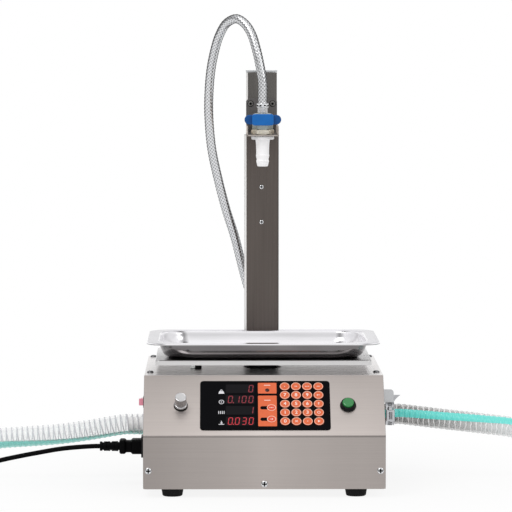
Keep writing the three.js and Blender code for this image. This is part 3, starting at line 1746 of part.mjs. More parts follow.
// Places on the left wall have X up and Z out of the wall
function leftWall(y, z) {
  const place = new THREE.Group();
  place.position.set(-bodyWidth / 2, y, z);
  place.rotation.y = -Math.PI / 2;
  machine.add(place);
  return place;
}

const rockerPlace = leftWall(rockerY, rockerZ);
add(rockerPlace, 'rocker_frame', rockerFrame(), blackPlastic);
add(rockerPlace, 'power_rocker', rocker(), redPlastic).rotation.x = -rockerTilt;
const inletPlace = leftWall(inletY, inletZ);
add(inletPlace, 'mains_inlet', mainsInlet(), blackPlastic);
add(inletPlace, 'power_connector', powerConnector(), blackRubber);
add(leftWall(portY, leftPortZ), 'left_hose_fitting', portFitting(), whitePlastic);

const rightPort = new THREE.Group();
rightPort.position.set(bodyWidth / 2, portY, rightPortZ);
machine.add(rightPort);
add(rightPort, 'right_hose_fitting', facingRight(portFitting()), whitePlastic);
add(rightPort, 'port_bracket', portBracket(), zincSteel);
add(machine, 'hose_clamp', hoseClamp(), brightSteel, [0, portY, rightPortZ]);

add(machine, 'pump_head', pumpHead(), castGrey);
add(machine, 'pump_motor', pumpMotor(), darkSteel, [pumpX, motorBackY, pumpZ]);
add(machine, 'pump_saddle', pumpSaddle(), zincSteel);
add(machine, 'suction_tube', facingLeft(innerTube(bodyWidth / 2)), clearHose, [0, portY, leftPortZ]);
add(machine, 'return_tube', facingRight(innerTube(bodyWidth / 2)), clearHose, [0, portY, rightPortZ]);
add(machine, 'outlet_tube', outletTube(), clearHose);
add(machine, 'outlet_fitting', outletFitting(), brass, [0, outletY, 0]);
add(machine, 'power_supply', powerSupply(), aluminium);

add(machine, 'load_cell', loadCell(), aluminium);
add(machine, 'load_cell_pedestal', pedestal(), zincSteel);
add(machine, 'cell_spacer', cellSpacer(), aluminium);
add(machine, 'support_plate', supportPlate(), brushedSteel);
add(machine, 'weighing_pan', weighingPan(), brightSteel, [0, panCenterY, 0]);

add(machine, 'outer_column', outerColumn(), darkSteel);
add(machine, 'mast', mast(), darkSteel);
add(machine, 'mast_cap', mastCap(), zincSteel, [0, columnMiddleY, 0]);
add(machine, 'lock_screw_upper', lockScrew(), brightSteel, [0, columnY, columnTop - upperLockDrop]);
add(machine, 'lock_screw_lower', lockScrew(), brightSteel, [0, columnY, columnTop - lowerLockDrop]);
add(machine, 'nozzle_bracket', nozzleBracket(), darkSteel);
for (const [side, x] of [['left', -bracketBoltSpacing / 2], ['right', bracketBoltSpacing / 2]]) {
  add(machine, `bracket_bolt_${side}`, bracketBolt(), darkSteel, [x, plateFrontY, boltHeight]);
}

const nozzleAxis = [0, nozzleY, 0];
add(machine, 'lock_nut', lockNut(), brass, nozzleAxis);
add(machine, 'valve_body', valveBody(), castGrey, nozzleAxis);
add(machine, 'valve_ball', valveBall(), brightSteel, [0, nozzleY, valveMiddle]);
add(machine, 'valve_handle', handle(), bluePlastic, [0, handleBackY, valveMiddle]);
add(machine, 'nozzle', nozzle(), whitePlastic, nozzleAxis);
add(machine, 'hose_ferrule', ferrule(), brightSteel, nozzleAxis);
add(machine, 'braided_hose', tubeAlong(braidedRoute, braidedRadius, 8, 40), zincSteel);

add(machine, 'left_hose', spiralHose(leftHoseRoute), clearHose);
add(machine, 'right_hose', spiralHose(rightHoseRoute), clearHose);
add(machine, 'power_lead', tubeAlong(leadRoute, leadRadius, leadSides, 18), blackRubber);
add(machine, 'lead_coil', coilOfLead(coilPath), blackRubber);
const coilEnd = coilPath[coilPath.length - 1];
add(machine, 'mains_plug', facingLeft(mainsPlug()), blackPlastic, [coilEnd.x - gap, coilEnd.y, coilEnd.z]);

// The origin: the table under the middle of everything but the free hoses and the lead
const onCords = [
  'left_hose', 'right_hose', 'left_hose_fitting', 'right_hose_fitting', 'hose_clamp',
  'power_connector', 'power_lead', 'lead_coil', 'mains_plug',
];
machine.updateMatrixWorld(true);
const standing = new THREE.Box3();
machine.traverse((piece) => {
  if (piece.isMesh && !onCords.includes(piece.name)) standing.expandByObject(piece, true);
});
machine.position.x = -(standing.min.x + standing.max.x) / 2;
machine.position.y = -(standing.min.y + standing.max.y) / 2;

export default machine;
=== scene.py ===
import math

import bmesh
import bpy
import numpy as np
from mathutils import Matrix, Vector


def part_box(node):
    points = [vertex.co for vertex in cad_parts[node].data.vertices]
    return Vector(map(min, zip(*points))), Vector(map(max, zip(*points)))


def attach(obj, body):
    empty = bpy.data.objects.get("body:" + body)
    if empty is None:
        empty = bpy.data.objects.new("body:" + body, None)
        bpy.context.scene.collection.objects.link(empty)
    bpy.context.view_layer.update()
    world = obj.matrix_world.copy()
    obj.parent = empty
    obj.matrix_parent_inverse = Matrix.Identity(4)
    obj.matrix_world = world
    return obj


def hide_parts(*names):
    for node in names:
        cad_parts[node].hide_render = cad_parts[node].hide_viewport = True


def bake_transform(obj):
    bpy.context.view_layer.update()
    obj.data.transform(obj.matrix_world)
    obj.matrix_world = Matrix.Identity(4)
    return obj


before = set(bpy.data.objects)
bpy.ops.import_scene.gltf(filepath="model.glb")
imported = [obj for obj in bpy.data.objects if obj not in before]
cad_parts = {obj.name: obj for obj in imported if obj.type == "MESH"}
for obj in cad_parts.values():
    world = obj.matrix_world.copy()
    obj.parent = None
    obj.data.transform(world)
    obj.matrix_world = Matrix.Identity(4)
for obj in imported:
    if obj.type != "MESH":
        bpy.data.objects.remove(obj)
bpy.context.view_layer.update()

MM = 0.001
TAU = 2 * math.pi
RIGHT_ANGLE = math.pi / 2

panel_low, panel_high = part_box("front_panel")
CENTRE_X = (panel_low.x + panel_high.x) / 2
FRONT_Y = panel_low.y
TO_FRAME = Matrix.Translation((CENTRE_X, FRONT_Y, 0)) @ Matrix.Scale(MM, 4)


def at(x, y, z):
    return TO_FRAME @ Vector((x, y, z))


# Sizes of the machine, in machine millimetres
body_half = 175
body_depth = 375
underside = 12.5
front_top = 89
slope_run = 80
deck_top = 169
sheet = 1.5
gap = 0.3
# The radius at which a turned solid closes on its axis, and the edge of what cuts into a solid
core = 0.01
cutter_edge = 0.05
sharp_edge = 0.01
slope_angle = math.radians(45)
slope_length = slope_run / math.cos(slope_angle)
slope_middle = slope_length / 2
outlet_y = 363.3
nozzle_y = 204
column_front = 328
column_depth = 27
column_width = 53
column_top = 514
port_y = 200
left_port_z = 83
right_port_z = 98
rocker_y = 120
rocker_z = 126
inlet_y = 120
inlet_z = 60

# Facing: a shape made along Z turned to face the front, left, right, or up the slope
FRONT = Matrix.Rotation(RIGHT_ANGLE, 4, 'X')
LEFT = Matrix.Rotation(-RIGHT_ANGLE, 4, 'Y')
RIGHT = Matrix.Rotation(RIGHT_ANGLE, 4, 'Y')
SLOPE = Matrix.Translation((0, 0, front_top)) @ Matrix.Rotation(slope_angle, 4, 'X')
# An outline of depth and height, made along X
UPRIGHT = Matrix(((0, 0, 1, 0), (1, 0, 0, 0), (0, 1, 0, 0), (0, 0, 0, 1)))


def moved_to(x, y, z):
    return Matrix.Translation((x, y, z))


# Camera at the photograph's viewing angle

camera_place = (-62.75, -4500, 650.5)
camera_pitch = 0.066787
camera_yaw = 0.011228
camera_lens = 221.03

lens = bpy.data.cameras.new("camera")
lens.lens = camera_lens
lens.sensor_width = 36
lens.clip_end = 50
camera = bpy.data.objects.new("camera", lens)
camera.location = at(*camera_place)
camera.rotation_euler = (RIGHT_ANGLE - camera_pitch, 0, -camera_yaw)
bpy.context.collection.objects.link(camera)
bpy.context.scene.camera = camera
bpy.context.scene.view_settings.view_transform = 'Standard'


# Shapes: an array of points and a list of faces

def joined(*shapes):
    points, faces, count = [], [], 0
    for shape_points, shape_faces in shapes:
        points.append(shape_points)
        faces += [[corner + count for corner in face] for face in shape_faces]
        count += len(shape_points)
    return np.vstack(points), faces


def moved(shape, *matrices):
    matrix = Matrix.Identity(4)
    for part in matrices:
        matrix = matrix @ part
    turn = np.array(matrix)
    return shape[0] @ turn[:3, :3].T + turn[:3, 3], shape[1]


def lofted(rings, closed=False):
    count = len(rings[0])
    points = np.vstack(rings)
    faces = []
    for ring in range(len(rings) if closed else len(rings) - 1):
        here, there = ring * count, ((ring + 1) % len(rings)) * count
        for i in range(count):
            j = (i + 1) % count
            faces.append((here + i, here + j, there + j, there + i))
    if not closed:
        faces.append(tuple(range(count - 1, -1, -1)))
        faces.append(tuple(range(len(points) - count, len(points))))
    return points, faces


def level(outline, height):
    return np.column_stack([outline, np.full(len(outline), float(height))])


def directions(sides, turn=0.0):
    """Points evenly round a circle of radius one."""
    angles = (np.arange(sides) + turn) * TAU / sides
    return np.column_stack([np.cos(angles), np.sin(angles)])


def turned(profile, sides=64, closed=False):
    """A profile of (radius, height) turned about Z."""
    least_radius = 0.001
    across = directions(sides)
    return lofted([level(across * max(radius, least_radius), height) for radius, height in profile], closed)


def spun(profile, ease, steps, sides, closed=False):
    """A profile with its corners eased, turned about Z."""
    return turned(eased(profile, ease, steps, closed), sides, closed)


def without_repeats(points, closed):
    least_step = 1e-6
    apart = np.linalg.norm(np.roll(points, -1, 0) - points, axis=1) > least_step
    if not closed:
        apart[-1] = True
    return points[apart]


def eased(points, radius, steps=4, closed=False):
    points = np.array(points, float)
    result = []
    for i, corner in enumerate(points):
        if not closed and i in (0, len(points) - 1):
            result.append(corner)
            continue
        before = points[i - 1] - corner
        after = points[(i + 1) % len(points)] - corner
        lengths = np.linalg.norm(before), np.linalg.norm(after)
        reach = min(radius, lengths[0] / 2, lengths[1] / 2)
        start, end = corner + before * reach / lengths[0], corner + after * reach / lengths[1]
        cosine = float(np.dot(before, after) / (lengths[0] * lengths[1]))
        weight = math.sqrt((1 - cosine) / 2)
        for t in np.linspace(0, 1, steps + 1):
            a, b, c = (1 - t) ** 2, 2 * weight * t * (1 - t), t ** 2
            result.append((a * start + b * corner + c * end) / (a + b + c))
    return without_repeats(np.array(result), closed)


def rectangle(width, height, radius, steps=6, x=0, y=0):
    corners = [[-width, -height], [width, -height], [width, height], [-width, height]]
    return eased(np.array(corners) / 2 + [x, y], radius, steps, closed=True)


def circle(radius, sides=48, x=0, y=0):
    return directions(sides) * radius + [x, y]


def polygon(sides, flats, turn=0.0):
    return directions(sides, turn) * flats / 2 / math.cos(math.pi / sides)


def inset(outline, distance):
    ahead = np.roll(outline, -1, 0) - outline
    ahead = ahead / np.linalg.norm(ahead, axis=1)[:, None]
    normal = np.column_stack([-ahead[:, 1], ahead[:, 0]])
    both = normal + np.roll(normal, 1, 0)
    return outline + distance * 2 * both / (both ** 2).sum(1)[:, None]


def slab(outline, low, high, bevel=0.2, steps=2, low_bevel=None):
    low_bevel = bevel if low_bevel is None else low_bevel
    rings = []
    for angle in np.linspace(0, RIGHT_ANGLE, steps + 1):
        edge = inset(outline, low_bevel * (1 - math.sin(angle)))
        rings.append(level(edge, low + low_bevel * (1 - math.cos(angle))))
    for angle in np.linspace(RIGHT_ANGLE, 0, steps + 1):
        edge = inset(outline, bevel * (1 - math.sin(angle)))
        rings.append(level(edge, high - bevel * (1 - math.cos(angle))))
    return lofted(rings)


def block(low, high, bevel=0.3, steps=2):
    low, high = np.array(low, float), np.array(high, float)
    width, depth, height = high - low
    shape = slab(rectangle(width, depth, bevel, steps), -height / 2, height / 2, bevel, steps)
    return moved(shape, moved_to(*(low + high) / 2))


def flat_ring(outer, inner, low, high):
    return lofted([level(outer, low), level(outer, high), level(inner, high), level(inner, low)],
                  closed=True)


def folded(route, half_widths, thickness, bevel=0.3):
    """A bent sheet across X, its outer face on the route of (y, z) points."""
    ahead = np.gradient(route, axis=0)
    ahead = ahead / np.linalg.norm(ahead, axis=1)[:, None]
    outward = np.column_stack([-ahead[:, 1], ahead[:, 0]])
    rings = []
    for place, normal, half in zip(route, outward, half_widths):
        section = [(-half, -bevel), (-half + bevel, 0), (half - bevel, 0), (half, -bevel),
                   (half, bevel - thickness), (half - bevel, -thickness),
                   (bevel - half, -thickness), (-half, bevel - thickness)]
        rings.append([(x, *(place + normal * depth)) for x, depth in section])
    return lofted([np.array(ring) for ring in rings])


def temporary(shape):
    mesh = bpy.data.meshes.new("temporary")
    mesh.from_pydata(shape[0], [], shape[1])
    made = bpy.data.objects.new("temporary", mesh)
    bpy.context.collection.objects.link(made)
    face_outward(mesh)
    return made


def face_outward(mesh):
    work = bmesh.new()
    work.from_mesh(mesh)
    bmesh.ops.recalc_face_normals(work, faces=work.faces)
    work.to_mesh(mesh)
    work.free()


def evaluated(made):
    """A new mesh of an object with its modifiers applied."""
    view = bpy.context.evaluated_depsgraph_get()
    return bpy.data.meshes.new_from_object(made.evaluated_get(view))


def shape_of(mesh):
    points = np.array([vertex.co[:] for vertex in mesh.vertices])
    return points, [tuple(face.vertices) for face in mesh.polygons]


def carved(shape, *cutters):
    for cutter in cutters:
        body, tool = temporary(shape), temporary(cutter)
        step = body.modifiers.new("cut", 'BOOLEAN')
        step.operation = 'DIFFERENCE'
        step.solver = 'EXACT'
        step.object = tool
        mesh = evaluated(body)
        shape = shape_of(mesh)
        for used in (body, tool):
            old = used.data
            bpy.data.objects.remove(used)
            bpy.data.meshes.remove(old)
        bpy.data.meshes.remove(mesh)
    return shape


# Pieces

SHARP = math.radians(38)


def weigh_normals(piece):
    step = piece.modifiers.new("normals", 'WEIGHTED_NORMAL')
    step.keep_sharp = True
    mesh = evaluated(piece)
    piece.modifiers.clear()
    old, name = piece.data, piece.data.name
    piece.data = mesh
    bpy.data.meshes.remove(old)
    mesh.name = name


def add_finishes(piece, *finishes):
    for finish in finishes:
        piece.data.materials.append(finish)


def new_piece(name, shape, material, body="root", replaces=(), slot=None, weigh=True, others=(),
              place=()):
    """A piece of one or more shapes, moved to its place by the matrices in place.

    others holds pairs of a further shape and its own material. A piece that has the name of a CAD
    node replaces that node, unless replaces names others.
    """
    in_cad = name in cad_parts
    label = f"{name}_shown" if in_cad else name
    replaced = replaces or ([name] if in_cad else [])
    mesh = bpy.data.meshes.new(label)
    points, faces = joined(shape, *[other for other, _ in others])
    points, faces = moved(moved((points, faces), *place), TO_FRAME)
    mesh.from_pydata(points, [], faces)
    face_outward(mesh)
    first = 0
    for index, (part, finish) in enumerate([(shape, material), *others]):
        mesh.materials.append(finish)
        for face in mesh.polygons[first:first + len(part[1])]:
            face.material_index = index
        first += len(part[1])
    piece = bpy.data.objects.new(label, mesh)
    bpy.context.collection.objects.link(piece)
    mesh.shade_smooth()
    mesh.set_sharp_from_angle(angle=SHARP)
    if weigh:
        weigh_normals(piece)
    if body:
        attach(piece, body)
    if replaced:
        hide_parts(*replaced)
    return piece


def paint_corner_highlight_and_shade(piece, left, right):
    """Give the rounded upright corners of a tube a painted highlight on the left and a painted shade on the
    right.
    """
    end_limit, flat_limit, left_limit, right_limit = 0.3, 0.985, -0.12, 0.34
    add_finishes(piece, left, right)
    for face in piece.data.polygons:
        x, y, z = face.normal
        if abs(z) < end_limit and max(abs(x), abs(y)) < flat_limit:
            face.material_index = 1 if x < left_limit else 2 if x > right_limit else 0


# Materials, with short calls for the nodes of their trees

def linear(colour):
    shares = [part / 255 for part in colour]
    return [s / 12.92 if s <= 0.04045 else ((s + 0.055) / 1.055) ** 2.4 for s in shares]


def solid(colour):
    return (*linear(colour), 1)


def node(tree, kind, inputs=None, **settings):
    made = tree.nodes.new(kind)
    for key, value in settings.items():
        setattr(made, key, value)
    for socket, value in (inputs or {}).items():
        if isinstance(value, bpy.types.NodeSocket):
            tree.links.new(value, made.inputs[socket])
        else:
            made.inputs[socket].default_value = value
    return made


def computed(tree, operation, *values):
    return node(tree, 'ShaderNodeMath', dict(enumerate(values)), operation=operation).outputs[0]


def computed_vector(tree, operation, *values):
    return node(tree, 'ShaderNodeVectorMath', dict(enumerate(values)), operation=operation).outputs


def ranged(tree, value, low, high, start=0.3, end=0.7):
    inputs = {'Value': value, 'From Min': start, 'From Max': end, 'To Min': low, 'To Max': high}
    return node(tree, 'ShaderNodeMapRange', inputs).outputs['Result']


def mixed(tree, share, value, other):
    return node(tree, 'ShaderNodeMix', {0: share, 2: value, 3: other}).outputs[0]


def blended(tree, share, colour, other):
    inputs = {'Factor': share, 6: colour, 7: other}
    return node(tree, 'ShaderNodeMix', inputs, data_type='RGBA').outputs[2]


def scaled(tree, colour, *gains):
    """A colour made lighter or darker by each gain in turn."""
    for gain in gains:
        inputs = {0: colour, 'Scale': gain}
        colour = node(tree, 'ShaderNodeVectorMath', inputs, operation='SCALE').outputs[0]
    return colour


def own_space(tree, output='Object'):
    return node(tree, 'ShaderNodeTexCoord').outputs[output]


def axes(tree, vector):
    return node(tree, 'ShaderNodeSeparateXYZ', {0: vector}).outputs


def noise(tree, place, scale, detail=3.0):
    spread = node(tree, 'ShaderNodeMapping', {'Vector': place, 'Scale': scale}).outputs['Vector']
    found = node(tree, 'ShaderNodeTexNoise', {'Vector': spread, 'Scale': 1.0, 'Detail': detail})
    return found.outputs['Fac']


def shader_of(material):
    """The tree, the shader, and what sets the shader's colour so far."""
    tree = material.node_tree
    shader = tree.nodes["Principled BSDF"]
    links = shader.inputs['Base Color'].links
    return tree, shader, links[0].from_socket if links else None


def cubed(scale):
    return (scale, scale, scale)


def surface(name, colour, roughness=0.5, metallic=0.0, mottle=0.05, scale=cubed(60), streak=0.0,
            streak_scale=cubed(200), uneven=0.05, grain=0.0, grain_scale=cubed(900), coat=0.0,
            specular=0.5):
    """A shader whose colour, gloss and height vary over the object's own space."""
    material = bpy.data.materials.new(name)
    material.use_nodes = True
    tree, shader, _ = shader_of(material)
    place = own_space(tree)
    shade = ranged(tree, noise(tree, place, scale), 1 - mottle, 1 + mottle)
    if streak:
        lines = ranged(tree, noise(tree, place, streak_scale, 2.0), 1 - streak, 1 + streak)
        shade = computed(tree, 'MULTIPLY', shade, lines)
    tree.links.new(scaled(tree, linear(colour), shade), shader.inputs['Base Color'])
    gloss = ranged(tree, noise(tree, place, streak_scale if streak else scale),
                   max(roughness - uneven, 0.02), roughness + uneven)
    tree.links.new(gloss, shader.inputs['Roughness'])
    shader.inputs['Metallic'].default_value = metallic
    shader.inputs['Specular IOR Level'].default_value = specular
    if grain:
        inputs = {'Height': noise(tree, place, grain_scale, 2.0), 'Strength': 1.0, 'Distance': grain * MM}
        bump = node(tree, 'ShaderNodeBump', inputs)
        tree.links.new(bump.outputs['Normal'], shader.inputs['Normal'])
    if coat:
        shader.inputs['Coat Weight'].default_value = coat
        shader.inputs['Coat Roughness'].default_value = 0.08
    return material


ALONG_X = (6, 900, 900)
ALONG_Y = (900, 6, 900)
ALONG_Z = (700, 700, 5)
BANDS_X = (10, 1, 1)
BANDS_Y = (1, 9, 1)
BLOTCH_Z = (34, 34, 4)


def steel(name, colour, roughness, mottle, scale, streak, streak_scale, grain=0.01):
    return surface(name, colour, roughness, 1.0, mottle, scale, streak, streak_scale, 0.05, grain,
                   streak_scale)


def plated(name, colour, roughness, mottle=0.05, scale=90, grain=0.01, grain_scale=900):
    return surface(name, colour, roughness, 1.0, mottle, cubed(scale), 0.0, cubed(1), 0.07, grain,
                   cubed(grain_scale))


def plastic(name, colour, roughness, mottle=0.05, scale=80, grain=0.02, grain_scale=900, coat=0.0,
            specular=0.5):
    return surface(name, colour, roughness, 0.0, mottle, cubed(scale), 0.0, cubed(1), 0.06, grain,
                   cubed(grain_scale), coat, specular)


def painted_front_light(material, foot_gain, top_gain, middle_gain, tilt, lower_painted_shade):
    """Painted light and shade on the front: its colour drifts up the slope and to the sides, the part below
    the fold is darker, and the fold is a darker line.
    """
    tree, shader, base = shader_of(material)
    across, _, rise = axes(tree, own_space(tree))
    side = computed(tree, 'ADD', across, -CENTRE_X)
    fold = computed(tree, 'ADD', rise, -front_top * MM)
    half = body_half * MM
    step, line_start, line_end, painted_line_gain = MM / 2, 0.8 * MM, 1.8 * MM, 0.5
    gains = [ranged(tree, rise, foot_gain, top_gain, front_top * MM, deck_top * MM),
             ranged(tree, computed(tree, 'ABSOLUTE', side), 1 + middle_gain, 1 - middle_gain, 0.0, half),
             ranged(tree, side, 1 - tilt, 1 + tilt, -half, half),
             ranged(tree, fold, lower_painted_shade, 1.0, -step, step),
             ranged(tree, computed(tree, 'ABSOLUTE', fold), painted_line_gain, 1.0, line_start, line_end)]
    tree.links.new(scaled(tree, base, *gains), shader.inputs['Base Color'])
    return material


def painted_pan_corners(material):
    """Painted reflections inside the pan: matte corners lightened as a painted highlight, each with a painted
    darker line where it turns into a long wall.
    """
    tree, shader, base = shader_of(material)
    sideways = computed(tree, 'ABSOLUTE', axes(tree, own_space(tree, 'Normal'))[0])
    line, corner_start, corner_end = (0.1, 0.22), 0.26, 0.4
    painted_line_gain, corner_highlight_gain, corner_metallic = 0.5, 2.4, 0.25
    gains = [ranged(tree, sideways, 1.0, painted_line_gain, *line),
             ranged(tree, sideways, 1.0, corner_highlight_gain, corner_start, corner_end)]
    tree.links.new(scaled(tree, base, *gains), shader.inputs['Base Color'])
    matte = ranged(tree, sideways, 1.0, corner_metallic, corner_start, corner_end)
    tree.links.new(matte, shader.inputs['Metallic'])
    return material


def painted_end_reflection(material, gain, start, end):
    """A painted reflection: let the colour change with the distance from the middle plane, up to a gain."""
    tree, shader, base = shader_of(material)
    away = computed(tree, 'ABSOLUTE', axes(tree, own_space(tree))[0])
    share = ranged(tree, away, 1.0, gain, start * MM, end * MM)
    tree.links.new(scaled(tree, base, share), shader.inputs['Base Color'])
    return material


# Painted light and shade on the brushed front, set by the gains below.
front_steel = painted_front_light(steel("brushed_front", (182, 174, 170), 0.36, 0.03, BANDS_X, 0.035, ALONG_X, 0.012),
                     foot_gain=1.08, top_gain=0.88, middle_gain=0.12, tilt=0.05, lower_painted_shade=0.82)
side_steel = steel("brushed_side", (184, 178, 174), 0.36, 0.045, BANDS_Y, 0.035, ALONG_Y, 0.012)
deck_steel = steel("brushed_deck", (225, 222, 221), 0.28, 0.05, BANDS_X, 0.03, ALONG_X)
column_steel = steel("column_steel", (97, 90, 86), 0.32, 0.09, BLOTCH_Z, 0.06, ALONG_Z)
# Corner finishes for the tubes: a painted highlight on the left, a painted shade on the right.
corner_painted_highlight = surface("corner_painted_highlight", (240, 238, 236), 0.45, 0.15, 0.05, BLOTCH_Z, 0.03, ALONG_Z)
corner_painted_shade = steel("corner_painted_shade", (96, 90, 87), 0.4, 0.05, BLOTCH_Z, 0.03, ALONG_Z)
mast_steel = steel("mast_steel", (108, 105, 102), 0.3, 0.12, (90, 90, 3), 0.08, ALONG_Z)
bracket_steel = steel("bracket_steel", (106, 103, 102), 0.34, 0.06, cubed(40), 0.05, ALONG_Z)
# The pan's inside has painted highlights in its corners and painted darker lines beside them.
mirror_steel = painted_pan_corners(steel("mirror_steel", (234, 233, 236), 0.12, 0.07, (7, 34, 34), 0.02, ALONG_X,
                              0.003))
# The flange's top is painted darker towards the pan's ends, a painted reflection.
pan_flange = painted_end_reflection(steel("pan_flange", (228, 226, 233), 0.14, 0.07, (7, 34, 34), 0.02, ALONG_X, 0.003),
                    0.56, 110, 165)
# Darker copies of the pan's steel for its outer wall and lip: painted shade.
pan_under_painted_shade = steel("pan_under_painted_shade", (120, 117, 118), 0.16, 0.12, (14, 14, 60), 0.03, ALONG_X, 0.003)
pan_lip_painted_shade = steel("pan_lip_painted_shade", (176, 175, 176), 0.2, 0.08, (14, 14, 60), 0.03, ALONG_X, 0.003)
support_steel = steel("support_steel", (213, 212, 212), 0.24, 0.03, cubed(20), 0.03, ALONG_X, 0.004)
cell_metal = steel("cell_metal", (196, 198, 200), 0.3, 0.03, cubed(40), 0.03, ALONG_Y, 0.004)
zinc = plated("zinc_plate", (205, 207, 209), 0.24, 0.05, 120, 0.01, 1500)
bright = plated("bright_plate", (222, 223, 225), 0.16, 0.03, 90, 0.004, 1500)
clamp_steel = plated("clamp_steel", (190, 191, 194), 0.18, 0.1, 300, 0.004, 1500)
bracket_zinc = plated("pale_zinc", (204, 206, 208), 0.36, 0.05, 70)
bolt_steel = plated("bolt_steel", (112, 110, 108), 0.34, 0.05, 300)
# A lighter copy of the bracket's steel for its arm, painted light, and a painted highlight for its front
# edge.
painted_light_arm = surface("painted_light_arm", (228, 214, 204), 0.4, 0.25, 0.08, cubed(60), 0.05, ALONG_Z)
painted_edge_highlight = plated("painted_edge_highlight", (176, 168, 162), 0.4, 0.1, 200)
screw_steel = plated("screw_steel", (128, 128, 130), 0.26, 0.08, 200)
knob_steel = plated("knob_steel", (192, 191, 192), 0.2, 0.03, 80, 0.005)
sleeve_steel = plated("sleeve_steel", (208, 208, 209), 0.3, 0.3, 500, 0.06, 700)
valve_steel = surface("valve_steel", (176, 184, 181), 0.34, 0.3, 0.05, cubed(70), 0.0, cubed(1), 0.07, 0.02)
brass = surface("brass", (255, 246, 226), 0.3, 0.1, 0.06, cubed(90), 0.0, cubed(1), 0.07, 0.015)
pump_grey = plated("pump_grey", (150, 152, 154), 0.45, 0.06, 60, 0.05, 600)
# Painted shade in recesses, slots, and as rings round bolt heads.
painted_recess_shade = plastic("painted_recess_shade", (12, 12, 12), 0.6, 0.1, 200, 0.0, 900, 0.0, 0.1)
rubber = plastic("foot_rubber", (20, 20, 21), 0.8, 0.15, 90, 0.05, 900, 0.0, 0.2)
black = plastic("black_plastic", (11, 11, 13), 0.42, 0.1, 70, 0.03, 1100, 0.0, 0.2)
lead_black = plastic("lead_sheath", (4, 4, 5), 0.5, 0.1, 60, 0.02, 900, 0.0, 0.05)
film_black = plastic("keypad_film", (8, 8, 11), 0.34, 0.06, 40, 0.012, 2600, 0.0, 0.03)
window_black = plastic("display_window", (24, 23, 26), 0.2, 0.04, 30, 0.0, 900, 0.0, 0.05)
key_orange = plastic("key_orange", (224, 108, 68), 0.42, 0.04, 120, 0.012, 2600, 0.0, 0.2)
key_red = plastic("key_red", (226, 92, 64), 0.42, 0.04, 120, 0.012, 2600, 0.0, 0.2)
key_rim = plastic("key_rim", (246, 196, 174), 0.45, 0.04, 120, 0.0, 900, 0.0, 0.2)
legend_white = plastic("legend_white", (250, 226, 218), 0.45, 0.03, 200, 0.0, 900, 0.0, 0.3)
label_white = plastic("label_white", (226, 226, 230), 0.45, 0.03, 200, 0.0, 900, 0.0, 0.3)
lamp_dark = plastic("lamp_dark", (52, 16, 18), 0.25, 0.05, 300, 0.0, 900, 0.0, 0.3)
cap_green = plastic("button_green", (28, 124, 58), 0.2, 0.05, 140, 0.01, 900, 0.4)
rocker_red = plastic("rocker_red", (238, 146, 166), 0.32, 0.05, 140, 0.01, 900, 0.2)
mark_pale = plastic("mark_pale", (250, 226, 232), 0.4, 0.03, 200, 0.0)
handle_band = plastic("handle_blue", (18, 100, 176), 0.42, 0.05, 80, 0.02, 700, 0.0, 0.25)
handle_ear = plastic("handle_blue_dark", (10, 74, 136), 0.42, 0.05, 80, 0.02, 700, 0.0, 0.25)
nozzle_white = plastic("nozzle_white", (252, 251, 252), 0.4, 0.02, 60, 0.01, 900, 0.0, 0.3)
board_green = plastic("board_green", (26, 86, 52), 0.5, 0.15, 300, 0.05, 400)
motor_paint = plastic("motor_paint", (52, 56, 62), 0.42, 0.06, 50, 0.03, 700)
fitting_grey = plastic("fitting_grey", (44, 45, 47), 0.45, 0.08, 80, 0.02, 700, 0.0, 0.3)
port_white = plastic("port_white", (250, 250, 250), 0.45, 0.04, 80, 0.02, 700, 0.0, 0.3)
tube_clear = plastic("tube_clear", (214, 226, 226), 0.28, 0.04, 50, 0.01, 900)


def painted_shade_below(name, upper, lower, height):
    """A piece with its part below a height in a colour of its own, used as painted shade."""
    material = plastic(name, upper, 0.5, 0.06, 60, 0.02, 700, 0.0, 0.15)
    tree, shader, base = shader_of(material)
    rise = axes(tree, own_space(tree))[2]
    share = ranged(tree, rise, 0.0, 1.0, height - MM / 2, height + MM / 2)
    tree.links.new(blended(tree, share, solid(lower), base), shader.inputs['Base Color'])
    return material


def glow(name, colour, strength):
    """A glowing material kept at a plain level: a lit segment of the display, and the level's vial, whose
    glow is painted light.
    """
    material = surface(name, colour, 0.3, 0.0, 0.03, cubed(400), 0.0, cubed(1), 0.03)
    shader = shader_of(material)[1]
    shader.inputs['Emission Color'].default_value = solid(colour)
    shader.inputs['Emission Strength'].default_value = strength
    return material


segment_dim = glow("segment_dim", (128, 26, 40), 0.3)
segment_lit = glow("segment_lit", (178, 32, 44), 0.32)
# The level's vial glows though it is no lamp: painted light.
vial_painted_glow = glow("level_vial", (232, 236, 234), 0.35)


def paint(material, *names):
    for name in names:
        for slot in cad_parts[name].material_slots:
            slot.material = material


# Cords

def smooth_path(route, spacing):
    """Points at an even spacing on a smooth curve through the route."""
    route = np.array(route, float)
    ends = [2 * route[0] - route[1]], [2 * route[-1] - route[-2]]
    points = np.vstack([ends[0], route, ends[1]])
    steps = np.linspace(0, 1, 40, endpoint=False)[:, None]
    samples = []
    for a, b, c, d in zip(points, points[1:], points[2:], points[3:]):
        first, middle, last = (np.linalg.norm(q - p) ** 0.5 for p, q in ((a, b), (b, c), (c, d)))
        leaving = ((b - a) / first - (c - a) / (first + middle) + (c - b) / middle) * middle
        arriving = ((c - b) / middle - (d - b) / (middle + last) + (d - c) / last) * middle
        cubic = 2 * b - 2 * c + leaving + arriving
        square = 3 * c - 3 * b - 2 * leaving - arriving
        samples.append(b + leaving * steps + square * steps ** 2 + cubic * steps ** 3)
    samples = np.vstack([*samples, route[-1:]])
    travel = np.concatenate([[0], np.cumsum(np.linalg.norm(np.diff(samples, axis=0), axis=1))])
    count = max(round(travel[-1] / spacing), 2)
    even = np.linspace(0, travel[-1], count + 1)
    return np.column_stack([np.interp(even, travel, samples[:, k]) for k in range(3)]), travel[-1]


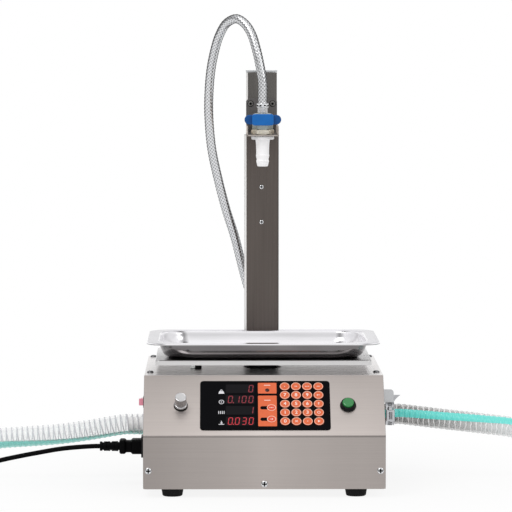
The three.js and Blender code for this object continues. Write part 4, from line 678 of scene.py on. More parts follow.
def unit(vectors):
    return vectors / np.linalg.norm(vectors, axis=1)[:, None]


def level_frames(path):
    ahead = unit(np.gradient(path, axis=0))
    side = unit(np.cross([0, 0, 1], ahead))
    return side, np.cross(ahead, side)


def carried_frames(path, first=(1, 0, 0)):
    """Frames carried along the path without twist."""
    ahead = unit(np.gradient(path, axis=0))
    side = np.zeros_like(path)
    current = np.array(first, float)
    for i, direction in enumerate(ahead):
        current = current - direction * current.dot(direction)
        current = current / np.linalg.norm(current)
        side[i] = current
    return side, np.cross(ahead, side)


def tube_points(path, radii, sides, frames):
    side, up = frames
    angles = np.arange(sides) * TAU / sides
    across = np.cos(angles)[None, :, None] * side[:, None] + np.sin(angles)[None, :, None] * up[:, None]
    return path[:, None] + np.asarray(radii)[..., None] * across


def add_uv(piece, sides, rings, share_along):
    """Along and round the tube, without a seam: the last column ends at one."""
    mesh = piece.data
    layer = mesh.uv_layers.new(name="along_round")
    for face in mesh.polygons:
        corners = [mesh.loops[i].vertex_index for i in face.loop_indices]
        wraps = {corner % sides for corner in corners} >= {0, sides - 1}
        for loop, corner in zip(face.loop_indices, corners):
            ring, place = divmod(corner, sides)
            round_share = 1.0 if wraps and place == 0 else place / sides
            layer.data[loop].uv = (share_along[min(ring, rings - 1)], round_share)


def along_round(tree):
    """The distance along a tube in turns of its pattern, and the share of the way round it."""
    return axes(tree, node(tree, 'ShaderNodeUVMap', uv_map="along_round").outputs[0])[:2]


def zigzag(tree, value):
    """The distance to the nearest whole number."""
    return computed(tree, 'PINGPONG', value, 0.5)


def spiral_material(name, wall, far_wall, wire, wall_alpha, line_colour, line_start, line_turn,
                    line_half, mottle, wobble, edge):
    """A clear wall, a wire that winds round in it, and a painted line that turns slowly along it. The wall's
    colour runs from wall to far_wall along the hose, and mottle sets its blotches; on the right hose both are
    a painted reflection.
    """
    material = plastic(name, wall, 0.2, mottle, 170, 0.03, 400, 0.3)
    tree, shader, base = shader_of(material)
    along, round_share = along_round(tree)
    far_start, far_end, rib_core, rib_edge = 8.0, 26.0, 0.05, 0.13
    rib_cover, line_cover, full_alpha = 0.8, 0.92, 0.92
    wall_colour = blended(tree, ranged(tree, along, 0.0, 1.0, far_start, far_end), base, solid(far_wall))
    uneven = noise(tree, own_space(tree), cubed(75))
    turn = computed(tree, 'MULTIPLY_ADD', uneven, wobble, computed(tree, 'SUBTRACT', along, round_share))
    rib = ranged(tree, zigzag(tree, turn), 1.0, 0.0, rib_core, rib_edge)
    middle = computed(tree, 'MULTIPLY_ADD', along, line_turn, line_start)
    away = zigzag(tree, computed(tree, 'SUBTRACT', round_share, middle))
    line = ranged(tree, away, 1.0, 0.0, line_half, line_half * 1.1)
    ribbed = blended(tree, rib, wall_colour, solid(wire))
    lined = blended(tree, computed(tree, 'MULTIPLY', line, line_cover), ribbed, solid(line_colour))
    tree.links.new(lined, shader.inputs['Base Color'])
    cover = computed(tree, 'MAXIMUM', computed(tree, 'MULTIPLY', rib, rib_cover), line)
    facing = node(tree, 'ShaderNodeLayerWeight', {'Blend': 0.3}).outputs['Facing']
    alpha = computed(tree, 'ADD', ranged(tree, cover, wall_alpha, full_alpha, 0.0, 1.0),
                     ranged(tree, facing, 0.0, edge, 0.5, 1.0))
    tree.links.new(alpha, shader.inputs['Alpha'])
    return material


hose_radius = 15.5
hose_root = 14.9
hose_bore = 12.4
rib_pitch = 7.9
rings_per_rib = 8
hose_sides = 48
left_hose_route = [
    (-178.6, 200, 83), (-194.1, 200, 83), (-206, 200, 82.9), (-222, 200, 80.7), (-240, 200, 77.6),
    (-268, 200, 73), (-296, 200, 69.2), (-325, 200, 66.5), (-355, 200, 64.5), (-395, 200, 61.6),
    (-440, 200, 53.5), (-485, 201, 38.5), (-525, 203, 25.5), (-565, 208, 17.9), (-605, 222, 16),
    (-643, 246, 15.8), (-672, 281, 15.8), (-687, 324, 15.8), (-684, 369, 15.8), (-664, 409, 15.8),
    (-630, 440, 15.8), (-587, 456, 15.8), (-541, 455, 15.8), (-499, 437, 15.8), (-466, 404, 15.8),
    (-450, 366, 15.8), (-446, 335, 15.8),
]
right_hose_route = [
    (178.6, 200, 98), (194.1, 200, 98), (206, 200, 97.9), (222, 200, 96.2), (240, 200, 94),
    (270, 200, 90.3), (300, 200, 86.9), (335, 200, 82.8), (371, 200, 78.2), (405, 200, 70),
    (435, 200, 58), (470, 201, 41), (505, 203, 26.5), (545, 208, 17.6), (585, 222, 16),
    (623, 246, 15.8), (652, 281, 15.8), (667, 324, 15.8), (664, 369, 15.8), (644, 409, 15.8),
    (610, 440, 15.8), (567, 456, 15.8), (521, 455, 15.8), (479, 437, 15.8), (446, 404, 15.8),
    (430, 366, 15.8), (426, 335, 15.8),
]


def spiral_hose(name, route, material):
    path, length = smooth_path(route, rib_pitch / rings_per_rib)
    travel = np.linspace(0, length, len(path))
    angles = np.arange(hose_sides) / hose_sides
    phase = (travel[:, None] / rib_pitch - angles[None, :]) % 1.0
    crest = np.clip(1.6 * np.cos(TAU * phase) - 0.1, 0, 1)
    ease = np.clip(np.minimum(travel, length - travel) / (2 * rib_pitch), 0, 1)[:, None]
    outer = hose_root + (hose_radius - hose_root) * (crest * ease + 1 - ease)
    frames = level_frames(path)
    shell = tube_points(path, outer, hose_sides, frames)
    sparse = slice(None, None, rings_per_rib // 2)
    inner_frames = frames[0][sparse], frames[1][sparse]
    bore = np.full((len(path[sparse]), 1), hose_bore)
    inside = tube_points(path[sparse], bore, hose_sides, inner_frames)[::-1]
    shape = lofted([*shell, *inside], closed=True)
    piece = new_piece(name, shape, material, slot="clear_hose", weigh=False)
    along = np.concatenate([travel, travel[sparse][::-1]]) / rib_pitch
    add_uv(piece, hose_sides, len(along), along)
    return piece


# The line starts under the left hose and on the front of the right one, and turns as it goes
left_hose_finish = spiral_material("clear_hose_left", (255, 255, 255), (255, 255, 255), (202, 202, 209), 0.15,
                                   (126, 224, 213), 0.75, 0.0044, 0.086, 0.03, 0.12, 0.0)
# The right hose is painted darker and blotchy near the machine and lighter further along: a painted
# reflection.
right_hose_finish = spiral_material("clear_hose_right", (142, 140, 138), (252, 253, 254), (255, 255, 255),
                                    0.42, (92, 232, 222), 0.479, -0.0042, 0.064, 0.9, 1.0, 0.4)
spiral_hose("left_hose", left_hose_route, left_hose_finish)
spiral_hose("right_hose", right_hose_route, right_hose_finish)

# Braided hose over the machine
ferrule_top = 564.6
outlet_top = 193.3
braid_radius = 7
braid_route = [
    (0, nozzle_y, ferrule_top + gap), (0, nozzle_y, ferrule_top + gap + braid_radius), (0, 204, 597),
    (-3, 206, 616), (-9, 212, 644), (-16, 220, 667), (-26, 230, 683), (-39, 241, 691), (-54, 254, 684),
    (-65, 263, 665), (-72, 274, 642), (-78, 286, 610), (-81, 300, 565), (-80, 312, 528),
    (-76, 323, 490), (-67, 336, 447), (-55, 348, 400), (-41, 358, 355), (-27, outlet_y, 300),
    (-14, outlet_y, 255), (-4, outlet_y, 222), (0, outlet_y, outlet_top + gap + 2 * braid_radius),
    (0, outlet_y, outlet_top + gap),
]
braid_sides = 64
braid_strands = 8
braid_relief = 0.5
# Painted shade: the braid is darker where it looks away from the middle of its loop, which is stretched
# upward
loop_middle = (-41, 0, 640)
loop_stretch = (1, 0, 0.3)


def braid_material():
    material = surface("braid_steel", (224, 225, 227), 0.26, 1.0, 0.05, cubed(200), 0.0, cubed(1), 0.08)
    tree, shader, base = shader_of(material)
    along, round_share = along_round(tree)
    strands = computed(tree, 'MULTIPLY', round_share, braid_strands)
    crossings = [zigzag(tree, computed(tree, operation, strands, along)) for operation in ('ADD', 'SUBTRACT')]
    # Painted shade: darker in the gaps between the strands.
    strand_gap_shade = ranged(tree, computed(tree, 'ADD', *crossings), 0.4, 1.06, 0.2, 0.62)
    offset = computed_vector(tree, 'SUBTRACT', own_space(tree), at(*loop_middle))[0]
    spread = computed_vector(tree, 'MULTIPLY', offset, loop_stretch)[0]
    outward = computed_vector(tree, 'NORMALIZE', spread)[0]
    facing = computed_vector(tree, 'DOT_PRODUCT', outward, own_space(tree, 'Normal'))['Value']
    # Painted shade along the outer side of the loop.
    outer_painted_shade = ranged(tree, facing, 1.0, 0.3, 0.6, 0.95)
    tree.links.new(scaled(tree, base, strand_gap_shade, outer_painted_shade), shader.inputs['Base Color'])
    shader.inputs['Specular Tint'].default_value = (0, 0, 0, 1)
    return material


def braided_hose():
    pitch = TAU * braid_radius / braid_strands
    path, length = smooth_path(braid_route, pitch / 4)
    travel = np.linspace(0, length, len(path))
    strand = np.arange(braid_sides)[None, :] * braid_strands / braid_sides
    along = travel[:, None] / pitch
    relief = (np.sin(math.pi * (strand + along)) ** 2 + np.sin(math.pi * (strand - along)) ** 2) / 2
    radii = braid_radius - braid_relief + braid_relief * relief
    shape = lofted(list(tube_points(path, radii, braid_sides, carried_frames(path))))
    piece = new_piece("braided_hose", shape, braid_material(), slot="braid_steel", weigh=False, body=None)
    add_uv(piece, braid_sides, len(path), travel / pitch)
    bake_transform(piece)
    return piece


# Mains lead with its coil
lead_radius = 3.5
coil_half = 2.5
coil_pitch = 7.7
coil_centre = (-560, 64)
coil_climb = 0.25
coil_steps = 24
coil_inner = 38
lead_end = 36
lead_spacing = 2.5
connector_length = 66.6
coil_outer = coil_inner + coil_half * coil_pitch / 2
lead_floor = lead_radius + gap / 2
connector_tip = -(body_half + connector_length)


def coil_point(turns):
    fold = abs(turns - coil_half)
    radius = coil_outer - (coil_half - fold) * coil_pitch
    share = min(max((turns - coil_half + coil_climb) / (2 * coil_climb), 0), 1)
    climb = share * share * (3 - 2 * share)
    angle = RIGHT_ANGLE + turns * TAU
    return (coil_centre[0] + radius * math.cos(angle), coil_centre[1] + radius * math.sin(angle),
            lead_floor + coil_pitch * climb)


def lead_route():
    turns = [coil_point(i / coil_steps) for i in range(int(2 * coil_half * coil_steps) + 1)]
    start, end = turns[0], turns[-1]
    approach = [
        (connector_tip - gap, inlet_y, inlet_z), (connector_tip - gap - 2 * lead_radius, inlet_y, inlet_z),
        (-275, 120, 58.5), (-300, 120, 56), (-330, 119, 51), (-360, 118, 45.5), (-389, 116, 39.5),
        (-420, 114, 31), (-450, 112, 21), (-480, 110.5, 11.5), (-505, 109, 5.5),
        (-525, start[1], lead_floor), (start[0] + 2 * lead_radius, start[1], lead_floor),
    ]
    return [*approach, *turns, (end[0] - lead_end, end[1], end[2])]


def mains_lead():
    route = lead_route()
    path, length = smooth_path(route, lead_spacing)
    radii = np.full((len(path), 1), lead_radius)
    shape = lofted(list(tube_points(path, radii, 20, level_frames(path))))
    piece = new_piece("power_lead", shape, lead_black, weigh=False, replaces=["power_lead", "lead_coil"])
    return piece


# Screws

screw_radius = 5
screw_height = 2.6
lock_screw_radius = 3.6


def cross_bars(size, width, low, high):
    return [block((-a / 2, -b / 2, low), (a / 2, b / 2, high), cutter_edge, 1)
            for a, b in ((size, width), (width, size))]


def domed_screw(radius, cross_share):
    """A round head with a driver's cross cut in, its seat at zero, and the floor of the cross, a painted
    shade.
    """
    height = screw_height
    profile = [(0, 0), (radius, 0), (radius, height * 0.3), (radius * 0.86, height * 0.78),
               (radius * 0.5, height * 0.98), (0, height)]
    size, width, depth = 2 * radius * cross_share, radius * 0.4, height * 0.6
    cutters = cross_bars(size, width, height - depth, height + depth)
    head = carved(spun(profile, height * 0.35, 3, 40), *cutters)
    return head, joined(*cross_bars(size, width, height * 0.3, height * 0.62))


def screw_piece(name, screw, finish, *place):
    head, cross_floor = screw
    new_piece(name, head, finish, others=[(cross_floor, painted_recess_shade)], place=place)


large_screw = domed_screw(screw_radius, 0.7)
deck_screw = domed_screw(screw_radius, 0.8)
lock_screw = domed_screw(lock_screw_radius, 0.66)

# Housing

front_screw_x = 167.5
front_screw_z = 39
middle_screw_z = 20
panel_corner = 3
fold_radius = 2.2

for side, x, z in (("left", -front_screw_x, front_screw_z), ("right", front_screw_x, front_screw_z),
                   ("middle", 0, middle_screw_z)):
    screw_piece(f"front_screw_{side}", large_screw, bright, moved_to(x, 0, z), FRONT)


def front_panel():
    bends = np.linspace(0, RIGHT_ANGLE, 6)
    route = eased([(0, underside), (0, front_top), (slope_run, deck_top)], fold_radius, 5)
    rises = [panel_corner * (1 - math.cos(a)) for a in bends]
    widths = [body_half - panel_corner + panel_corner * math.sin(a) for a in bends]
    rest = [(0, underside + panel_corner), *route[1:]]
    route = np.array([*[(0, underside + rise) for rise in rises[:-1]], *rest], float)
    return folded(route, widths[:-1] + [body_half] * len(rest), sheet)


new_piece("front_panel", front_panel(), front_steel)

deck_front = slope_run + sheet / math.sin(slope_angle) + gap
spacer_opening = (57, 46, 22.9)
level_place = (-99.8, 180)
level_window = (14.5, 10, 0.8)
column_clearance = 0.6
column_hole_radius = 4.2
neck_hole = 4.8
deck_screw_inset = 8
deck_screw_rows = {"front": 123, "rear": body_depth - 16}
deck_screw_turn = 0.6
column_middle = column_front + column_depth / 2


def deck_plate():
    middle = (deck_front + body_depth) / 2
    plate = slab(rectangle(2 * body_half, body_depth - deck_front, 1.2, 4, 0, middle),
                 deck_top - sheet, deck_top, 0.3)
    outlines = [rectangle(*spacer_opening, 12, 0, nozzle_y), rectangle(*level_window, 3, *level_place),
                rectangle(column_width + column_clearance, column_depth + column_clearance,
                          column_hole_radius, 6, 0, column_middle),
                circle(neck_hole, 32, 0, outlet_y)]
    return carved(plate, *[slab(outline, deck_top - 2 * sheet, deck_top + sheet) for outline in outlines])


new_piece("deck_plate", deck_plate(), deck_steel)
for side in (-1, 1):
    for row, y in deck_screw_rows.items():
        name = f"deck_screw_{row}_{'left' if side < 0 else 'right'}"
        seat = moved_to(side * (body_half - deck_screw_inset), y, deck_top)
        screw_piece(name, deck_screw, screw_steel, seat, Matrix.Rotation(deck_screw_turn * side, 4, 'Z'))

foot_x = 133
foot_rows = {"front": 24, "rear": 351}
foot_radius = 16
foot_tread = 14.5
foot_edge = 1.2
foot_flare = 10
foot_height = 12.2
washer_radius = 5
washer_depth = 1.6


def foot():
    profile = [(0, 0), (foot_tread - foot_edge, 0), (foot_tread, foot_edge), (foot_radius, foot_flare),
               (foot_radius, foot_height), (0, foot_height)]
    washer = [(0, -washer_depth), (washer_radius, -washer_depth), (washer_radius, washer_depth),
              (0, washer_depth)]
    return carved(spun(profile, 0.8, 3, 56), spun(washer, 0.3, 2, 32))


foot_shape = foot()
for row, y in foot_rows.items():
    for side, x in (("left", -foot_x), ("right", foot_x)):
        new_piece(f"{row}_{side}_foot", foot_shape, rubber, place=[moved_to(x, y, 0)])

# The cover's walls stop short of the deck, and hold the rocker, the inlet and both hose ports
cover_front = sheet + gap
cover_top = deck_top - sheet - gap
wall_inside = body_half - sheet
flange_width = 13.5
bend_inside = 1.0
bend_outside = 2.5
port_hole = 11.3
screw_hole = 2.4
rocker_hole = (10.3, 6.7)
inlet_hole = (14.6, 10.6)
vent_count = 8
vent_pitch = 9
vent_size = (3, 38, 1.45)
vent_middle = (-118, 77)


def cover_outline():
    """The bent sheet seen from above, with its two rear corners rounded."""
    back, middle = body_depth, body_depth / 2
    inner = back - sheet
    left_in = eased([(-wall_inside, middle), (-wall_inside, inner), (0, inner)], bend_inside, 4)[1:-1]
    right_in = eased([(0, inner), (wall_inside, inner), (wall_inside, middle)], bend_inside, 4)[1:-1]
    right_out = eased([(body_half, middle), (body_half, back), (0, back)], bend_outside, 6)[1:-1]
    left_out = eased([(0, back), (-body_half, back), (-body_half, middle)], bend_outside, 6)[1:-1]
    return np.array([(-body_half, cover_front), (-wall_inside, cover_front), *left_in, *right_in,
                     (wall_inside, cover_front), (body_half, cover_front), *right_out, *left_out])


def cover_holes():
    """What is cut from the walls, and last the screw holes, which go through the flanges too."""
    through, far = 4 * sheet, 500
    over_slope = moved(block((-far, -far, -sheet - gap), (far, far, far), sharp_edge, 1), SLOPE)
    left_holes = [block((-body_half - through, y - half_width, z - half_height),
                        (through - wall_inside, y + half_width, z + half_height), 0.4)
                  for y, z, half_width, half_height in ((rocker_y, rocker_z, *rocker_hole),
                                                        (inlet_y, inlet_z, *inlet_hole))]
    port = slab(circle(port_hole, 48), -through, through, sharp_edge, 1)
    ports = [moved(port, moved_to(side * body_half, port_y, z), RIGHT)
             for side, z in ((-1, left_port_z), (1, right_port_z))]
    vent = slab(rectangle(*vent_size, 5), -through, through, sharp_edge, 1)
    vents = [moved(vent, moved_to(vent_middle[0] + (i - (vent_count - 1) / 2) * vent_pitch, body_depth,
                                  vent_middle[1]), FRONT) for i in range(vent_count)]
    screws = [slab(circle(screw_hole, 24, side * (body_half - deck_screw_inset), y),
                   cover_top - through, cover_top + through, sharp_edge, 1)
              for side in (-1, 1) for y in deck_screw_rows.values()]
    return [over_slope, *left_holes, *ports, joined(*vents), joined(*screws)]


def wrap_cover():
    walls = slab(cover_outline(), underside, cover_top, 0.3)
    overlap, rear = sheet / 3, body_depth - sheet / 2
    flanges = [block((x, slope_run, cover_top - sheet), (x + flange_width, rear, cover_top), 0.2)
               for x in (-wall_inside - overlap, wall_inside + overlap - flange_width)]
    holes = cover_holes()
    return joined(carved(walls, *holes[:-1]), *(carved(flange, holes[0], holes[-1]) for flange in flanges))


new_piece("wrap_cover", wrap_cover(), side_steel)
paint(side_steel, "base_tray")


level_stem = (13.9, 9.4, 0.8)
level_stem_low = -3.5
level_top = (16.5, 12, 1.6)
level_height = 4.3
vial_left = -8.1
vial_right = -1.9
vial_half = 5.75
vial_low = 0.6
vial_high = 3.9


def bubble_level():
    """A black block in the deck's window with a clear vial at its left."""
    stem = slab(rectangle(*level_stem, 3), level_stem_low, gap + 0.2, 0.2)
    top = slab(rectangle(*level_top, 5), gap, level_height, 0.6, 3, 0.1)
    middle = (vial_left + vial_right) / 2 + 0.1
    trough = slab(rectangle(vial_right - vial_left + 0.4, 14, 0.4, 3, middle, 0), vial_low + 0.2, 6,
                  cutter_edge, 1)
    vial = block((vial_left, -vial_half - 0.15, vial_low), (vial_right, vial_half - 0.15, vial_high), 0.8, 4)
    return joined(stem, carved(top, trough)), vial


level_body, level_vial = bubble_level()
new_piece("bubble_level", level_body, black, others=[(level_vial, vial_painted_glow)],
          place=[moved_to(*level_place, deck_top)])

# Membrane keypad and display on the slope

film_low = gap
film_top = gap + 0.9
film_size = (189, 90.5, 5)
film_x = 1.5
window_size = (41.6, 16, 1.2)
window_x = -34.9
window_pitch = 20
window_rows = [slope_middle + 0.5 + (1.5 - i) * window_pitch for i in range(4)]
key_columns = (30.3, 46.6, 62.9, 79.3)
key_rows = (91.2, 75.05, 58.9, 42.75, 26.6)
key_radius = 7.2
key_rim_stroke = 0.85
field_x = 4.8
mode_x = 10.6
mode_rows = (51.5, 30.4)
oval_halves = (6.6, 5.9)
oval_rise = 0.62
print_height = 0.06


def on_slope(name, shape, material, *place, **settings):
    return new_piece(name, shape, material, place=(SLOPE, *place), **settings)


def above_film(outline, rise, bevel=0.12):
    return slab(outline, film_top - 0.1, film_top + rise, bevel, 2)


def pale_rim(outline, stroke, x, y, height):
    """A thin printed line just inside the edge of a key."""
    return flat_ring(outline + [x, y], inset(outline, stroke) + [x, y], height, height + print_height)


film_outline = rectangle(*film_size, 8, film_x, slope_middle)
on_slope("keypad_film", slab(film_outline, film_low, film_top, 0.25), film_black,
         replaces=["keypad_overlay"])
windows = [above_film(rectangle(*window_size, 4, window_x, row), 0.12, 0.08) for row in window_rows]
on_slope("display_windows", joined(*windows), window_black)

SEGMENTS = {'0': 'abcdef', '1': 'bc', '3': 'abcdg'}
digit_width = 6.7
digit_height = 13.4
digit_stroke = 1.2
digit_pitch = 10.0
digit_slant = 0.11
digit_right = -15.6
digit_low = film_top + 0.08
digit_rise = 0.14
dot_radius = 0.95
dot_rise = 0.18


def bar(start, end, stroke):
    """A pointed bar between two points, as one lit segment."""
    start, end = np.array(start, float), np.array(end, float)
    ahead = (end - start) / np.linalg.norm(end - start)
    side = np.array([-ahead[1], ahead[0]]) * stroke / 2
    tip = ahead * stroke / 2
    start, end = start + tip * 0.35, end - tip * 0.35
    return np.array([start, start + tip - side, end - tip - side, end, end - tip + side,
                     start + tip + side])


def digit(mark, x, y):
    w, h, s = digit_width - digit_stroke, digit_height - digit_stroke, digit_stroke
    ends = {'a': ((0, h), (w, h)), 'b': ((w, h / 2), (w, h)), 'c': ((w, 0), (w, h / 2)),
            'd': ((0, 0), (w, 0)), 'e': ((0, 0), (0, h / 2)), 'f': ((0, h / 2), (0, h)),
            'g': ((0, h / 2), (w, h / 2))}
    shapes = []
    for key in SEGMENTS[mark]:
        outline = bar(*ends[key], s)
        outline[:, 0] += x + s / 2 + (outline[:, 1] - h / 2) * digit_slant
        outline[:, 1] += y - h / 2
        shapes.append(slab(outline, digit_low, digit_low + digit_rise, 0.02, 1))
    return shapes


def readout(text, row):
    shapes, x = [], digit_right - digit_width
    for mark in reversed(text):
        if mark == '.':
            dot = circle(dot_radius, 16, x + digit_width + 0.9, row - digit_height / 2 + 0.7)
            shapes.append(slab(dot, digit_low, digit_low + dot_rise, 0.02, 1))
        else:
            shapes += digit(mark, x, row)
            x -= digit_pitch
    return joined(*shapes)


for index, (text, row) in enumerate(zip(("0", "0.100", "1", "0.030"), window_rows)):
    lit = segment_lit if index == 3 else segment_dim
    on_slope(f"readout_{index + 1}", readout(text, row), lit, weigh=False)

upper_field = rectangle(27.2, 19.9, 1.2, 4, field_x, 88)
lower_field = rectangle(27.2, 56.6, 1.2, 4, field_x, 45.9)
fields = [above_film(outline, 0.2) for outline in (upper_field, lower_field)]
on_slope("indicator_fields", joined(*fields), key_orange)

lamp = turned([(0, 0), (3.2, 0), (3.1, 0.25), (2.2, 0.6), (1.0, 0.78), (0, 0.82)], 32)
on_slope("indicator_lamp", lamp, lamp_dark, moved_to(field_x, 84.2, film_top + 0.15))
pills = [above_film(rectangle(11.5, 6, 2.9, 6, 0.2, row), 0.36, 0.1) for row in mode_rows]
on_slope("mode_pills", joined(*pills), film_black)
oval = directions(40) * oval_halves
ovals = [above_film(oval + [mode_x, row], oval_rise, 0.2) for row in mode_rows]
oval_rims = [pale_rim(oval, 1.0, mode_x, row, film_top + oval_rise + 0.01) for row in mode_rows]
on_slope("mode_keys", joined(*ovals), key_red, others=[(joined(*oval_rims), key_rim)])

key_profile = [(0, -0.1), (key_radius, -0.1), (key_radius, 0.28), (key_radius - 0.5, 0.5),
               (key_radius - 1.1, 0.4), (0, 0.52)]
key_shape = spun(key_profile, 0.18, 2, 44)
key_places = [(x, row) for x in key_columns for row in key_rows]
keys = [moved(key_shape, moved_to(x, row, film_top)) for x, row in key_places]
rims = [pale_rim(circle(key_radius - 0.3, 44), key_rim_stroke, x, row, film_top + 0.5)
        for x, row in key_places]
on_slope("keys", joined(*keys), key_orange, others=[(joined(*rims), key_rim)])

legend_top = film_top + 0.56
legend_size = 8.2
legend_half = 0.04
line_stroke = 0.8
mark_half = 2.6


def figure(text, size):
    curve = bpy.data.curves.new("figure", 'FONT')
    curve.body = text
    curve.size = size
    curve.extrude = legend_half
    curve.offset = 0.14
    curve.align_x = 'CENTER'
    curve.align_y = 'CENTER'
    curve.resolution_u = 4
    made = bpy.data.objects.new("figure", curve)
    bpy.context.collection.objects.link(made)
    mesh = evaluated(made)
    shape = shape_of(mesh)
    bpy.data.objects.remove(made)
    bpy.data.curves.remove(curve)
    bpy.data.meshes.remove(mesh)
    return shape


def flat(outline):
    return slab(np.array(outline, float), -legend_half, legend_half, sharp_edge, 1)


def dots(count):
    pitch, radius = 2.2, 0.75
    return [flat(circle(radius, 16, (i - (count - 1) / 2) * pitch, 0)) for i in range(count)]


def line(start, end, stroke=line_stroke):
    return flat(bar(start, end, stroke))


def arrow(x, y, dx, dy):
    """A straight arrow from (x, y) along (dx, dy)."""
    head = 1.8
    tip = np.array([x + dx, y + dy])
    back = -np.array([dx, dy]) / math.hypot(dx, dy) * head
    across = np.array([-back[1], back[0]]) * 0.8
    return [line((x, y), tip), line(tip, tip + back + across), line(tip, tip + back - across)]


def ring_mark(radius, stroke=0.7):
    return [flat_ring(circle(radius, 32), circle(radius - stroke, 32), -legend_half, legend_half)]


def placed(shapes, x, y, height, *turns):
    return [moved(shape, moved_to(x, y, height), *turns) for shape in shapes]


triangle = [flat([(-1.7, -2.1), (2.3, 0), (-1.7, 2.1)])]
cross = [line((-2, -2), (2, 2)), line((-2, 2), (2, -2))]
marks = {
    (0, 0): dots(1), (1, 0): dots(2), (2, 0): dots(3),
    (3, 0): [line((-mark_half, 0), (mark_half, 0)), *dots(1)],
    (3, 1): arrow(mark_half, 0, -2 * mark_half, 0), (3, 2): arrow(0, -2.4, 0, 4.8),
    (3, 3): ring_mark(2.4), (3, 4): triangle, (1, 4): cross, (2, 4): dots(1),
}
digits_at = {(0, 1): '7', (1, 1): '8', (2, 1): '9', (0, 2): '4', (1, 2): '5', (2, 2): '6',
             (0, 3): '1', (1, 3): '2', (2, 3): '3', (0, 4): '0'}
marks.update({key: [figure(text, legend_size)] for key, text in digits_at.items()})
legends = []
for (column, row), shapes in marks.items():
    legends += placed(shapes, key_columns[column], key_rows[row], legend_top)
for row, shapes in zip(mode_rows, (dots(3), arrow(-2.2, 0, 4.4, 0))):
    legends += placed(shapes, mode_x, row, legend_top + 0.1)
for row in (93.4, 65.5):
    legends += placed([line((-5, 0), (5, 0), 1.1)], field_x, row, film_top + 0.24)
on_slope("key_legends", joined(*legends), legend_white, weigh=False)

label_x = -62
label_rows = (81, 62.5, 43, 24)
label_scale = Matrix.Diagonal((1.3, 1.3, 1, 1))
weight_mark = [flat([(-3.4, -2.4), (3.4, -2.4), (2.2, 1.4), (-2.2, 1.4)]), *placed(ring_mark(1.3), 0, 2.1, 0)]
target_mark = [*ring_mark(3), *dots(1)]
count_mark = [line((x, -2.4), (x, 2.4)) for x in (-3, -1, 1, 3)]
limit_mark = [line((-3.4, -2.2), (3.4, -2.2)), *arrow(0, 3, 0, -4.4)]
labels = []
for shapes, row in zip((weight_mark, target_mark, count_mark, limit_mark), label_rows):
    labels += placed(shapes, label_x, row, film_top + print_height, label_scale)
on_slope("row_pictograms", joined(*labels), label_white, weigh=False)

# Knob, gasket, push button

knob_x = -121
button_x = 122
gasket_top = gap + 1.4
gasket_radius = 10.2
gasket_bore = 3.8
knob_rise = 18.5
knob_flange = 3.2
knob_radius = 8.2
flute_count = 20
flute_depth = 0.55
bezel_radius = 11.8
bezel_top = 6
bezel_body = 8.6
bezel_low = -25.5
button_radius = 8.4


def knob():
    base, sides = gasket_top + gap, 160
    waves = np.cos(np.arange(sides) * TAU / sides * flute_count)
    flute = flute_depth * np.clip(waves * 1.4, -0.4, 1)
    plain = [(core, 0), (9.0, 0), (9.5, 0.5), (9.5, knob_flange - 1.0), (9.1, knob_flange - 0.3),
             (8.6, knob_flange)]
    fluted = [(knob_flange + 0.1, 0.0), (knob_flange + 0.9, 1.0), (knob_rise - 2.0, 1.0),
              (knob_rise - 1.2, 0.0)]
    top = [(8.35, knob_rise - 1.1), (8.3, knob_rise - 0.6), (7.7, knob_rise - 0.1), (7.3, knob_rise),
           (7.0, knob_rise - 0.15), (core, knob_rise - 0.1)]
    across = directions(sides)
    rings = [level(across * radius, base + height) for radius, height in plain]
    rings += [level(across * (knob_radius - depth * flute)[:, None], base + height)
              for height, depth in fluted]
    return lofted(rings + [level(across * radius, base + height) for radius, height in top])


knob_seat = moved_to(knob_x, slope_middle, 0)
on_slope("flow_knob", knob(), knob_steel, knob_seat, body="knob")
gasket_profile = [(gasket_bore, gap), (gasket_radius, gap), (gasket_radius, gasket_top),
                  (gasket_bore, gasket_top)]
on_slope("knob_gasket", spun(gasket_profile, 0.4, 3, 56, closed=True), rubber, knob_seat)

button_seat = moved_to(button_x, slope_middle, 0)
bezel_profile = [(core, bezel_low), (bezel_body, bezel_low), (bezel_body, gap), (bezel_radius, gap),
                 (bezel_radius, 1.6), (11.3, 2.2), (10.2, bezel_top), (8.7, bezel_top), (8.7, 1), (core, 1)]
on_slope("start_button_bezel", spun(bezel_profile, 0.5, 3, 72), black, button_seat)
cap_profile = [(core, 4.3), (button_radius, 4.3), (button_radius, 7.8), (7.6, 8.7), (5.5, 9.15), (core, 9.2)]
on_slope("start_button", spun(cap_profile, 1.2, 4, 72), cap_green, button_seat, body="button")

# Weighing: pan, support plate

pan_floor = 189
pan_height = 26
pan_half = (172.5, 119)
pan_rim = 18.5
pan_run = 13
pan_sheet = 1.0
pan_insets = (0, pan_rim, pan_rim + pan_run)
pan_corners = (34, 44, 40)
pan_floor_margin = 6
pan_ease = 2.2
lip_depth = 3
lip_round = 1.6
rim_depth = 4
# Share of the wall's run, and height above the floor, from the floor up to the rim
pan_wall = ((0.95, 0.4), (0.55, 4.5), (0.28, 9.5), (0.1, 15.5), (0.02, 22))


def pan_ring(inset_by, height):
    radius = float(np.interp(inset_by, pan_insets, pan_corners))
    outline = rectangle(2 * (pan_half[0] - inset_by), 2 * (pan_half[1] - inset_by), radius, 14)
    return level(outline + [0, nozzle_y], height)


